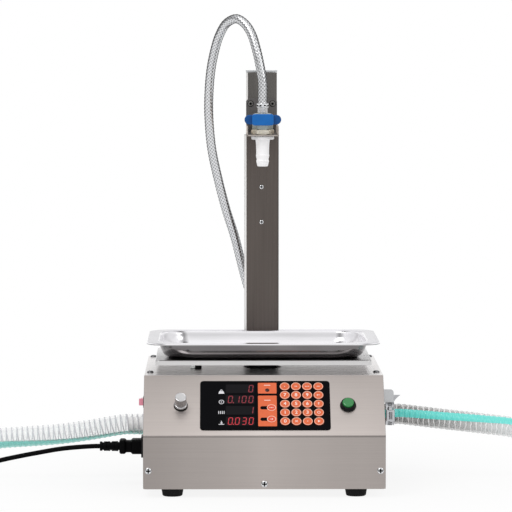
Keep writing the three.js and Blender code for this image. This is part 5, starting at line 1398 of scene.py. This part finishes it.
def weighing_pan():
    """The pressed pan: its outside from the floor up to the lip, then its inside back down."""
    top, under = pan_floor + pan_height, pan_floor + pan_height - pan_sheet
    floor_edge = pan_rim + pan_run + pan_floor_margin
    wall = [(pan_rim + pan_run * share, pan_floor + rise) for share, rise in pan_wall]
    inner_wall = [(inset_by + pan_sheet, height + 0.7 * pan_sheet) for inset_by, height in wall[::-1]]
    outside = [(floor_edge, pan_floor), *wall, (pan_rim - 1.4, under), (lip_round, under),
               (pan_sheet, top - 1.8), (pan_sheet, top - lip_depth), (0.2, top - lip_depth)]
    inside = [(0, top - lip_round), (1.2, top), (pan_rim - 1.0, top), *inner_wall,
              (floor_edge + pan_sheet, pan_floor + pan_sheet)]
    profile = np.vstack([eased(outside, pan_ease, 4), eased(inside, pan_ease, 4)])
    return lofted([pan_ring(inset_by, height) for inset_by, height in profile])


def face_looks_out(face):
    """True for a face of the pan that looks away from its middle or down."""
    middle = at(0, nozzle_y, 0)
    outward = Vector((face.center.x - middle.x, face.center.y - middle.y, 0))
    return face.normal.dot(outward) > 0 or face.normal.z < -0.5


def finish_pan(pan):
    """Give the outer wall and the lip darker copies of the pan's steel as painted shade, and the level flange
    a finish of its own.
    """
    add_finishes(pan, pan_under_painted_shade, pan_lip_painted_shade, pan_flange)
    level_facing, upright_facing = 0.9, 0.05
    below_rim = (pan_floor + pan_height - rim_depth) * MM
    for face in pan.data.polygons:
        if face.normal.z < upright_facing and face_looks_out(face):
            face.material_index = 1 if face.center.z < below_rim else 2
        elif face.center.z > below_rim and face.normal.z > level_facing:
            face.material_index = 3


finish_pan(new_piece("weighing_pan", weighing_pan(), mirror_steel, body="pan"))

plate_low = 181.4
plate_high = 188.7
plate_size = (319, 200)
plate_sheet = 2
plate_corner = 6
plate_round = 1.6


def support_plate():
    """A shallow tray turned over, on the load cell's spacer."""
    inner_size = [side - 2 * plate_sheet for side in plate_size]
    outer = slab(rectangle(*plate_size, plate_corner, 8, 0, nozzle_y), plate_low, plate_high, plate_round,
                 4, 0.1)
    inner = slab(rectangle(*inner_size, plate_corner - plate_sheet, 8, 0, nozzle_y),
                 plate_low - plate_sheet, plate_high - plate_sheet, 1.0, 3, 0.1)
    return carved(outer, inner)


new_piece("support_plate", support_plate(), support_steel)

# Telescoping column, cap, lock screws

mast_width = 47
mast_depth = 21
mast_low = 245
mast_top = 609.5
column_low = 14.3
lock_screw_heights = {"upper": 434, "lower": 380}


def square_tube(width, depth, radius, wall, low, high, steps=8):
    outer = rectangle(width, depth, radius, steps)
    inner = rectangle(width - 2 * wall, depth - 2 * wall, radius - wall * 0.6, steps)
    rings = [level(outer, low), level(outer, high - 0.4), level(inset(outer, 0.15), high - 0.1),
             level(inset(outer, 0.5), high), level(inner, high), level(inner, low)]
    return moved(lofted(rings, closed=True), moved_to(0, column_middle, 0))


for name, tube, finish, body in (
        ("outer_column", (column_width, column_depth, 4, 2.5, column_low, column_top), column_steel, "root"),
        ("mast", (mast_width, mast_depth, 3, 1.5, mast_low, mast_top), mast_steel, "mast")):
    paint_corner_highlight_and_shade(new_piece(name, square_tube(*tube), finish, body=body), corner_painted_highlight, corner_painted_shade)

cap_rings = [(0.0, 0.3), (0.9, 0.9), (1.2, 1.6), (1.2, 2.9), (0.7, 3.4), (0.0, 3.5)]
cap_plate = lofted([level(rectangle(mast_width + grow, mast_depth + grow, 2.4, 6, 0, column_middle),
                          mast_top + rise) for grow, rise in cap_rings])
new_piece("mast_cap", cap_plate, zinc, body="mast")
for row, z in lock_screw_heights.items():
    screw_piece(f"lock_screw_{row}", lock_screw, bright, moved_to(0, column_front - gap, z), FRONT)

# Bracket with its arm

arm_bottom = 516
arm_front = 184
arm_half = 24
arm_sheet = 2
flange_height = 15
plate_back = 330.7
plate_front = plate_back - arm_sheet
plate_half = 23.75
plate_cut = 5
bracket_low = 514.3
bracket_top = 570.8
bolt_x = 16.8
bolt_z = 561.8
bolt_key = 3.6


def nozzle_bracket():
    half, cut = plate_half, plate_cut
    outline = [(-half, bracket_low), (half, bracket_low), (half, bracket_top - cut),
               (half - cut, bracket_top), (cut - half, bracket_top), (-half, bracket_top - cut)]
    face = moved(slab(eased(outline, 0.8, 3, closed=True), -plate_back, -plate_front, 0.25), FRONT)
    floor = block((-arm_half, arm_front, arm_bottom), (arm_half, plate_back, arm_bottom + arm_sheet), 0.25)
    hole = slab(circle(8.3, 40, 0, nozzle_y), arm_bottom - arm_sheet, arm_bottom + 2 * arm_sheet)
    top = arm_bottom + flange_height
    flange = [(arm_front, arm_bottom), (plate_back, arm_bottom), (plate_back, top),
              (arm_front + 8, top), (arm_front, top - 8)]
    sides = [moved(slab(eased(flange, 0.8, 3, closed=True), low, low + arm_sheet, 0.25), UPRIGHT)
             for low in (-arm_half, arm_half - arm_sheet)]
    return joined(face, carved(floor, hole), *sides)


def finish_bracket(bracket):
    """Give the arm's front edge a painted highlight, and the rest of its tip and its sides a lighter copy of
    the steel as painted light.
    """
    add_finishes(bracket, painted_light_arm, painted_edge_highlight)
    front_facing, side_facing, tip_length = -0.6, 0.9, 9
    above, edge = at(0, 0, arm_bottom + flange_height + 1).z, at(0, arm_front + tip_length, 0).y
    for face in bracket.data.polygons:
        if face.normal.y < front_facing and face.center.y < edge:
            face.material_index = 2
        elif abs(face.normal.x) > side_facing and face.center.z < above or face.center.y < edge:
            face.material_index = 1


finish_bracket(new_piece("nozzle_bracket", nozzle_bracket(), bracket_steel, body="mast"))
bolt_profile = [(0, 0), (4.2, 0), (4.2, 2.6), (3.6, 3.4), (0, 3.4)]
bolt = carved(spun(bolt_profile, 0.6, 3, 40), slab(polygon(6, bolt_key), 1.4, 5, 0.05))
# Painted shade: a dark key floor and a dark ring round the bolt's head.
bolt_floor = joined(slab(polygon(6, bolt_key), 1.2, 1.6, 0.05),
                    turned([(0, 0.02), (4.9, 0.02), (4.9, 0.5), (0, 0.5)]))
for name, x in (("bracket_bolt_left", -bolt_x), ("bracket_bolt_right", bolt_x)):
    new_piece(name, bolt, bolt_steel, body="mast", others=[(bolt_floor, painted_recess_shade)],
              place=[moved_to(x, plate_front - gap, bolt_z), FRONT])

# Outlet: lock nut, valve, handle, ferrule, nozzle

valve_bottom = 525.8
valve_top = 549.8
valve_middle = 540.68
valve_radius = 15
valve_foot = 7.6
shank_low = 505.7
shank_radius = 8
barb_top = 562.1
barb_radius = 5
nut_flats = 30
nut_low = 518.3
nut_high = 525.5
neck_bore = 8.3
foot_flats = 27
boss_radius = 7
boss_length = 20.7
handle_y = 182.8
handle_length = 54.7
handle_width = 14.4
ear_height = 4.6
hub_radius = 6.4
hub_height = 10
band_size = (32, 17, 3.6)
band_height = 11.6
ferrule_bore = 5.3
sleeve_radius = 7.3
crimp_radius = 8.8
crimp_waist = 8.4
crimp_height = 6.2
crimp_count = 8
nozzle_top = 515.7
nozzle_tip = 470.3
nozzle_bore = 5
collar_radius = 16.75
collar_height = 5
grip_count = 12
grip_half = 1.1
thread_depth = 11
# Radius and rise above the tip, up over the two barbs
nozzle_barbs = ((7.3, 0), (7.9, 0.6), (9.6, 8.2), (9.6, 8.6), (8.9, 9.4), (8.95, 11.5), (10.1, 16.7),
                (10.1, 17.2), (9.5, 18))
on_axis = moved_to(0, nozzle_y, 0)


def hexagon_nut(flats, low, high, bore, chamfer=0.12):
    """A nut with its corners turned down above and below."""
    sides = 72
    sector = np.arange(sides) * TAU / sides % (math.pi / 3) - math.pi / 6
    hexagon = flats / 2 / np.cos(sector)
    across = directions(sides)
    round_edge = flats / 2 * 1.02
    drop = (high - low) * chamfer
    rings = []
    for height, limit in ((low, round_edge), (low + drop, flats), (high - drop, flats), (high, round_edge)):
        rings.append(level(across * np.minimum(hexagon, limit)[:, None], height))
    rings += [level(across * bore, high), level(across * bore, low)]
    return lofted(rings, closed=True)


new_piece("lock_nut", hexagon_nut(nut_flats, nut_low, nut_high, neck_bore), brass, body="mast",
          place=[on_axis])


def valve_body():
    low, high = valve_bottom + 7, valve_top
    block_profile = [(core, low), (14, low), (valve_radius, low + 2), (valve_radius, high - 3),
                     (13.6, high - 1), (10.5, high), (core, high)]
    shank = [(core, shank_low), (7.6, shank_low), (shank_radius, shank_low + 0.5),
             (shank_radius, valve_bottom + 2), (core, valve_bottom + 2)]
    barb = [(core, high - 2), (barb_radius, high - 2), (barb_radius, barb_top), (core, barb_top)]
    boss_profile = [(core, 0), (boss_radius, 0), (boss_radius, boss_length - 2.3),
                    (boss_radius - 0.7, boss_length), (core, boss_length)]
    boss = moved(spun(boss_profile, 0.5, 2, 48), moved_to(0, 0, valve_middle), FRONT)
    return joined(spun(block_profile, 0.9, 3, 72),
                  hexagon_nut(foot_flats, valve_bottom, valve_bottom + valve_foot, 4),
                  turned(shank, 48), turned(barb, 40), boss)


new_piece("valve_body", valve_body(), valve_steel, body="mast", place=[on_axis])


def valve_handle():
    """The ears and hub, and the raised band between the ears."""
    ears = slab(rectangle(handle_length, handle_width, handle_width / 2, 14), 0, ear_height, 1.5, 4)
    hub = spun([(core, 0), (hub_radius, 0), (hub_radius, hub_height), (core, hub_height)], 0.6, 3, 48)
    band = slab(rectangle(*band_size, 8), 0, band_height, 1.6, 4)
    return joined(ears, hub), band


handle_base, handle_front = valve_handle()
new_piece("valve_handle", handle_base, handle_ear, body="valve", others=[(handle_front, handle_band)],
          place=[moved_to(0, handle_y, valve_middle), FRONT])


def hose_ferrule():
    """The sleeve on the barb, the crimped ring at its top, and the dents of the crimp, dark with painted
    shade.
    """
    low, high, bore = valve_top + gap, ferrule_top, ferrule_bore
    ring_low = high - crimp_height
    sleeve_top, edge = ring_low + 0.5, crimp_radius - 0.5
    sleeve = [(bore, low), (sleeve_radius - 0.3, low), (sleeve_radius, low + 0.4),
              (sleeve_radius, sleeve_top), (bore, sleeve_top)]
    ring = [(bore, ring_low), (edge, ring_low), (crimp_radius, ring_low + 0.8),
            (crimp_waist, ring_low + 2.6), (crimp_waist, high - 2.6), (crimp_radius, high - 0.8),
            (edge, high), (bore, high)]
    dent = block((-1.5, -0.5, -1.1), (1.5, 0.12, 1.1), 0.35, 3)
    seat = moved_to(0, -8.35, high - 3.4)
    dents = [moved(dent, Matrix.Rotation((i + 0.5) * TAU / crimp_count, 4, 'Z'), seat)
             for i in range(crimp_count)]
    return [*[spun(profile, 0.3, 2, 64, closed=True) for profile in (sleeve, ring)], joined(*dents)]


sleeve, crimp_ring, crimp_dents = hose_ferrule()
new_piece("hose_ferrule", crimp_ring, bright, body="mast",
          others=[(sleeve, sleeve_steel), (crimp_dents, painted_recess_shade)], place=[on_axis])


def nozzle():
    """A tip with two barbs below a gripped collar."""
    top, bore, neck, edge = nozzle_top, nozzle_bore, nozzle_top - collar_height, collar_radius - 0.55
    barbs = [(radius, nozzle_tip + rise) for radius, rise in nozzle_barbs]
    profile = [(bore, nozzle_tip), *barbs, (9.9, neck - 8), (10.7, neck), (edge, neck),
               (collar_radius, neck + 0.6), (collar_radius, top - 0.6), (edge, top), (neck_bore, top),
               (neck_bore, top - thread_depth), (bore, top - thread_depth)]
    grip = block((edge - 1, -grip_half, neck + 0.7), (collar_radius + 0.25, grip_half, top - 0.7), 0.3)
    grips = [moved(grip, Matrix.Rotation(i * TAU / grip_count, 4, 'Z')) for i in range(grip_count)]
    return joined(spun(profile, 0.35, 2, 72, closed=True), *grips)


new_piece("nozzle", nozzle(), nozzle_white, body="mast", place=[on_axis])
braided_hose()

# Left side: rocker, inlet, connector, lead and plug

rocker_tilt = math.radians(-12)
rocker_half = 7.2
rocker_rise = 7.6
rocker_flange = (15.8, 23.1, 1.2)
rocker_body = (12.8, 20.04, 0.8)
rocker_mouth = (10.6, 17.84, 0.4)
rocker_body_low = -15
mouth_floor = -5.1
mark_offset = 3.9
mark_low = 7.0
mark_height = 0.22
mark_bar = (4.2, 0.7, 0.3)
mark_ring = (1.5, 0.95)
on_rocker = [moved_to(-body_half, rocker_y, rocker_z), LEFT]
on_inlet = [moved_to(-body_half, inlet_y, inlet_z), LEFT]


def rocker_frame():
    flange = slab(rectangle(*rocker_flange, 4), gap, 2.3, 0.5, 3, 0.1)
    body = slab(rectangle(*rocker_body, 3), rocker_body_low, 1.5, 0.3)
    mouth = slab(rectangle(*rocker_mouth, 2), mouth_floor, 5, cutter_edge, 1)
    return joined(carved(flange, mouth), carved(body, moved(mouth, moved_to(0, 0, cutter_edge))))


def rocker():
    """The tilting cap: a dipped top face over straight sides."""
    half, rise, dip = rocker_half, rocker_rise, rocker_rise - 0.65
    outline = [(-4.3, -4), (4.3, -4), (half, 0), (half, rise), (half / 2, dip), (0, dip - 0.25),
               (-half / 2, dip), (-half, rise), (-half, 0)]
    return moved(slab(eased(outline, 0.8, 4, closed=True), -5, 5, 0.5, 3), UPRIGHT)


def rocker_mark():
    """A bar and a ring, printed on the two halves of the cap."""
    high = mark_low + mark_height
    bar_mark = slab(rectangle(*mark_bar, 3, 0, mark_offset), mark_low, high, 0.03, 1)
    outer, inner = (circle(radius, 28, 0, -mark_offset) for radius in mark_ring)
    return joined(bar_mark, flat_ring(outer, inner, mark_low, high))


new_piece("rocker_frame", rocker_frame(), black, place=on_rocker)
new_piece("power_rocker", rocker(), rocker_red, body="rocker", others=[(rocker_mark(), mark_pale)],
          place=[*on_rocker, Matrix.Rotation(rocker_tilt, 4, 'X')])


inlet_rim = (31, 34, 3)
inlet_rim_top = 5.3
inlet_mouth = (22.5, 29, 3.4)
inlet_mouth_floor = 3.3
inlet_body = (20.6, 28.6, 1.5)
inlet_body_low = -22
inlet_socket = (16.6, 24.6, 1)
inlet_socket_floor = -11.7
pin_half = (3.2, 1)
pin_reach = (-11.9, -0.5)
pin_places = ((-1.4, -7), (-1.4, 7), (2.2, 0))


def mains_inlet():
    rim = slab(rectangle(*inlet_rim, 6), gap, inlet_rim_top, 0.6, 3, 0.1)
    flange = carved(rim, slab(rectangle(*inlet_mouth, 4), inlet_mouth_floor, 8, cutter_edge, 1))
    body = slab(rectangle(*inlet_body, 4), inlet_body_low, 2.6, 0.3)
    socket = slab(rectangle(*inlet_socket, 3), inlet_socket_floor, 5, cutter_edge, 1)
    (half, thin), (low, high) = pin_half, pin_reach
    pins = [block((x - half, y - thin, low), (x + half, y + thin, high), 0.3) for x, y in pin_places]
    return joined(carved(flange, socket), carved(body, socket)), joined(*pins)


inlet, inlet_pins = mains_inlet()
new_piece("mains_inlet", inlet, black, others=[(inlet_pins, bright)], place=on_inlet)


def tapered_box(sections, half, width, corner, ease, steps):
    """A box along Z whose height and width follow sections of (place, share)."""
    run = eased([(rise, half * share) for rise, share in sections], ease, 4)
    return lofted([level(rectangle(2 * reach, width * reach / half, corner, steps), rise)
                   for rise, reach in run])


connector_face = 3.6
connector_nose = (16, 24, 1)
connector_nose_low = -11.4
connector_half = 10.75
connector_width = 28
# Place behind the face and share of the full size, from the head over the waist to the grip
connector_sections = ((0.2, 0.93), (0.9, 1), (15, 1), (17, 0.78), (24, 0.78), (26, 0.97), (32.5, 0.97),
                      (34, 0.8))


def connector_body():
    """The moulded connector: its nose, head, waist and finger grip."""
    nose = slab(rectangle(*connector_nose, 4), connector_nose_low, connector_face + 0.5, 0.3)
    head = tapered_box(connector_sections, connector_half, connector_width, 3.4, 1.1, 6)
    return joined(nose, moved(head, moved_to(0, 0, connector_face)))


def strain_relief(low, length, radius, tip, ribs=5, groove=1.4):
    """A tapered sleeve cut into ribs, which stay joined by bars that change sides."""
    pitch = length / ribs
    profile = [(core, low - 0.5), (radius - 0.4, low - 0.5)]
    bars = []
    for i in range(ribs):
        width = radius + (tip - radius) * i / ribs
        start = low + i * pitch
        profile += [(width - groove, start + 0.1), (width - groove, start + pitch * 0.34),
                    (width, start + pitch * 0.38), (width - 0.15, start + pitch * 0.99)]
        half, side = width - 0.25, i % 2
        reach = (half, 1.5) if side else (1.5, half)
        bars.append(block((-reach[0], -reach[1], start - 0.2), (*reach, start + pitch * 0.5), 0.2))
    profile += [(tip - 0.5, low + length), (core, low + length)]
    return joined(spun(profile, 0.35, 2, 40), *bars)


relief = strain_relief(low=connector_face + 34, length=29, radius=7.5, tip=6.9)
connector = joined(connector_body(), relief)
new_piece("power_connector", connector, lead_black, place=on_inlet)

plug_place = [moved_to(-596.3, 111.6, 11.35), LEFT]
plug_face = 53.4
blade_tip = 71
blade_y = 6.35
blade_half = 0.75
blade_span = (-7.15, -0.85)
earth_x = 6
earth_radius = 2.3
plug_half = 11
plug_width = 26
plug_sections = ((20, 0.76), (23, 0.94), (29, 1), (42, 0.92), (50, 0.99), (54, 0.96))
plug_cone = ((core, 0), (4.1, 0), (5.2, 7), (7.9, 19), (8.36, 20.4), (core, 20.4))
groove_count = 4
groove_pitch = 3.2
groove_width = 1


def mains_plug():
    """A grooved cone that widens into the moulded body."""
    grooves = []
    for i in range(groove_count):
        radius, low = 4.1 + i * 0.75, 4.2 + i * groove_pitch
        high, far = low + groove_width, radius + 4.8
        grooves.append(turned([(radius, low), (far, low), (far, high), (radius, high)], 40, closed=True))
    body = tapered_box(plug_sections, plug_half, plug_width, 5, 1.6, 8)
    return joined(carved(spun(plug_cone, 1, 4, 40), *grooves), body)


def plug_pins():
    left, right = blade_span
    blades = [block((left, y - blade_half, plug_face), (right, y + blade_half, blade_tip), 0.4)
              for y in (-blade_y, blade_y)]
    earth_profile = [(core, plug_face), (earth_radius, plug_face), (earth_radius, blade_tip - 1),
                     (1.4, blade_tip), (core, blade_tip)]
    return joined(*blades, moved(spun(earth_profile, 0.4, 3, 28), moved_to(earth_x, 0, 0)))


plug = new_piece("mains_plug", mains_plug(), lead_black, others=[(plug_pins(), brass)], place=plug_place)
mains_lead()

# Hose fittings in both walls

fitting_bore = 8
barb_count = 3
barb_pitch = 8
barb_root = 10.3
barb_edge = 11.1
fitting_flange = 15.5


def port_fitting():
    barbs = []
    for i in range(barb_count):
        start = 3.3 + i * barb_pitch
        barbs += [(barb_root, start + 0.2), (barb_edge, start + 0.8), (barb_root, start + 7.4)]
    flange, chamfered = fitting_flange, fitting_flange - 0.3
    profile = [(fitting_bore, -24.8), (9.0, -24.8), (9.0, -5.1), (chamfered, -5.1), (flange, -4.8),
               (flange, -2.1), (chamfered, -1.8), (11, -1.8), (11, gap), (chamfered, gap), (flange, 0.6),
               (flange, 2.7), (14.9, 3.3), *barbs, (9.6, 27.3), (fitting_bore, 27.3)]
    return spun(profile, 0.25, 2, 64, closed=True)


fitting = port_fitting()
new_piece("left_hose_fitting", fitting, port_white, place=[moved_to(-body_half, port_y, left_port_z), LEFT])
new_piece("right_hose_fitting", fitting, port_white, place=[moved_to(body_half, port_y, right_port_z), RIGHT])

# Worm clamp on the right hose, and the bracket above it

clamp_low = 184.6
clamp_high = 197.6
clamp_inner = 16.1
clamp_band_sheet = 1.1
clamp_middle = (clamp_low + clamp_high) / 2
slot_count = 30
slot_tilt = 0.28
worm_front = -23.1
worm_seat = -16.65
worm_radius = 2.6
worm_root = 2.0
worm_half = 9
saddle_half = 8.5
window_half = 5.6
window_inset = 3.2
screw_head = (8.4, 12.5)
driver_slot_floor = 11.2
driver_slot_half = 0.6
tail_lean = 10
tail_low = 16.6
tail_rise = 11.9
thread_count = 9
thread_pitch = 1.35


def clamp_band():
    """A band with rolled edges, in the frame of the hose's axis."""
    inner, outer, low, high = clamp_inner, clamp_inner + clamp_band_sheet, clamp_low, clamp_high
    profile = [(inner, low), (outer, low), (outer, low + 1.0), (outer - 0.3, low + 1.5),
               (outer - 0.3, high - 1.5), (outer, high - 1.0), (outer, high), (inner, high)]
    return moved(spun(profile, 0.2, 2, 72, closed=True), RIGHT)


def clamp_slots():
    """Slots across the band, dark with painted shade, each tilted, made lengthwise along X and spread round
    it.
    """
    lengthwise = Matrix(((0, 1, 0, 0), (1, 0, 0, 0), (0, 0, 1, 0), (0, 0, 0, 1)))
    slot = block((-0.75, -3.4, clamp_inner + 0.55), (0.75, 3.4, clamp_inner + 0.92), 0.1, 1)
    turns = [Matrix.Rotation(i * TAU / slot_count, 4, 'X') for i in range(slot_count)]
    return joined(*[moved(slot, moved_to(clamp_middle, 0, 0), turn, lengthwise,
                          Matrix.Rotation(slot_tilt, 4, 'Z')) for turn in turns])


def clamp_worm():
    """The worm's saddle, and its screw with a slotted hexagon head."""
    front, seat, low, high = worm_front, worm_seat, clamp_low, clamp_high
    saddle = block((low, front, -saddle_half), (high, seat, saddle_half), 1.4, 4)
    window = block((low + window_inset, front - 1, -window_half),
                   (high - window_inset, front + 2.4, window_half), 0.3)
    threads = []
    for i in range(thread_count):
        start = 3 - worm_half + i * thread_pitch
        threads += [(worm_root, start), (worm_radius, start + 0.5), (worm_radius, start + 0.8),
                    (worm_root, start + 1.3)]
    worm = turned([(core, -worm_half), (worm_root, -worm_half), *threads, (worm_root, screw_head[0] + 0.2),
                   (core, screw_head[0] + 0.2)], 28)
    head = slab(polygon(6, 8), *screw_head, 0.9, 3, 0.3)
    driver_slot = block((-5, -driver_slot_half, driver_slot_floor), (5, driver_slot_half, 14), cutter_edge, 1)
    place = moved_to(clamp_middle, (front + seat) / 2, 0)
    return joined(carved(saddle, window), moved(worm, place), moved(carved(head, driver_slot), place))


def clamp_tail():
    """The band's end: it stands up behind the port bracket and flares outward."""
    sections = []
    for share in np.linspace(0, 1, 11):
        lean, rise = tail_lean * share ** 1.7, tail_low + tail_rise * share
        near = gap + 1.2 * share ** 2
        low, high = clamp_low + 0.2 + lean, clamp_high - 0.2 + lean
        sections.append(np.array([(low, near, rise), (high, near, rise), (high, near + 1, rise),
                                  (low, near + 1, rise)]))
    return lofted(sections)


new_piece("hose_clamp", joined(clamp_band(), clamp_worm(), clamp_tail()), clamp_steel,
          others=[(clamp_slots(), painted_recess_shade)], place=[moved_to(0, port_y, right_port_z)])

strip_inner = 175.3
strip_outer = 197
strip_low = 115.2
strip_high = 135.2
strip_sheet = 2
strip_corner = (185, 125)
strip_rounding = 6
foot_plate_y = (198.2, 214)


def port_bracket():
    left, low = strip_corner
    rounded = eased([(strip_outer, low), (strip_outer, strip_high), (left, strip_high)], strip_rounding, 8)
    outline = np.array([(strip_inner, strip_low), (strip_outer, strip_low), *rounded,
                        (strip_inner, strip_high)])
    face = moved(slab(outline, -port_y, strip_sheet - port_y, 0.3), FRONT)
    front, back = foot_plate_y
    foot_plate = block((strip_inner, front, strip_low), (strip_inner + strip_sheet, back, strip_high), 0.4)
    return joined(face, foot_plate)


new_piece("port_bracket", port_bracket(), bracket_zinc)

# Inside

paint(board_green, "control_board")
paint(fitting_grey, "potentiometer")
paint(pump_grey, "pump_head")
paint(motor_paint, "pump_motor")
paint(side_steel, "pump_saddle", "load_cell_pedestal")
paint(tube_clear, "suction_tube", "return_tube", "outlet_tube")
paint(valve_steel, "outlet_fitting")
paint(zinc, "power_supply")
paint(cell_metal, "load_cell")
# The spacer is dark below a height just above the deck: painted shade in the deck's opening.
paint(painted_shade_below("spacer_painted_shade", (176, 176, 178), (34, 34, 36), (deck_top + 5) * MM), "cell_spacer")
paint(bright, "valve_ball")

# Floor, lights and world


def light_paths(tree, *kinds):
    light = node(tree, 'ShaderNodeLightPath').outputs
    return [light[f"Is {kind} Ray"] for kind in kinds]


def floor_material():
    """A pale floor that turns to plain white away from the machine, where it is looked at."""
    white_start, white_end, near_share = 0.15, 0.6, 0.85
    material = surface("floor", (236, 236, 236), 0.9, 0.0, 0.004, cubed(3), 0.0, cubed(1), 0.02)
    tree, shader, _ = shader_of(material)
    shader.inputs['Specular IOR Level'].default_value = 0.0
    away = computed_vector(tree, 'LENGTH', own_space(tree))['Value']
    share = ranged(tree, away, near_share, 1.0, white_start, white_end)
    white = node(tree, 'ShaderNodeEmission', {'Color': (1, 1, 1, 1), 'Strength': 1.0})
    camera_ray, glossy_ray, transmission_ray = light_paths(tree, "Camera", "Glossy", "Transmission")
    seen = computed(tree, 'ADD', computed(tree, 'ADD', camera_ray, glossy_ray), transmission_ray)
    inputs = {0: computed(tree, 'MULTIPLY', seen, share), 1: shader.outputs[0], 2: white.outputs[0]}
    look = node(tree, 'ShaderNodeMixShader', inputs)
    tree.links.new(look.outputs[0], tree.nodes["Material Output"].inputs['Surface'])
    return material


floor_mesh = bpy.data.meshes.new("floor")
reach = 40
floor_mesh.from_pydata([(-reach, -reach, 0), (reach, -reach, 0), (reach, reach, 0), (-reach, reach, 0)],
                       [], [(0, 1, 2, 3)])
floor_mesh.materials.append(floor_material())
floor = bpy.data.objects.new("floor", floor_mesh)
bpy.context.collection.objects.link(floor)


def world_light():
    """Soft studio light, darker at the back, low down and far to the sides, and white to look at."""
    world = bpy.data.worlds.new("studio")
    bpy.context.scene.world = world
    world.use_nodes = True
    tree = world.node_tree
    across, back, rise = axes(tree, own_space(tree, 'Generated'))
    low_light, high_light, side_light, diffuse_light = 0.62, 1.12, 0.5, 0.72
    height_gain = ranged(tree, rise, low_light, high_light, -0.25, 0.95)
    behind = ranged(tree, back, 0.0, 1.0, -0.1, 0.7)
    side_gain = ranged(tree, computed(tree, 'ABSOLUTE', across), 1.0, side_light, 0.35, 0.85)
    studio = computed(tree, 'MULTIPLY', mixed(tree, behind, height_gain, 1.0), side_gain)
    camera_ray, transmission_ray, diffuse_ray = light_paths(tree, "Camera", "Transmission", "Diffuse")
    seen = computed(tree, 'MAXIMUM', camera_ray, transmission_ray)
    strength = mixed(tree, seen, mixed(tree, diffuse_ray, studio, diffuse_light), 1.0)
    background = tree.nodes["Background"]
    background.inputs['Color'].default_value = (1, 1, 1, 1)
    tree.links.new(strength, background.inputs['Strength'])


world_light()


def area_lamp(name, place, aim, size, power):
    lamp_data = bpy.data.lights.new(name, 'AREA')
    lamp_data.shape = 'DISK'
    lamp_data.size = size
    lamp_data.energy = power
    made = bpy.data.objects.new(name, lamp_data)
    made.location = place
    made.rotation_euler = (Vector(aim) - Vector(place)).to_track_quat('-Z', 'Y').to_euler()
    bpy.context.collection.objects.link(made)


lamp_aim = (0, 0, 0.2)
area_lamp("key_lamp", place=(-1.2, -1.6, 2.6), aim=lamp_aim, size=1.6, power=26)
area_lamp("fill_lamp", place=(1.8, -1.4, 1.6), aim=lamp_aim, size=1.4, power=8)
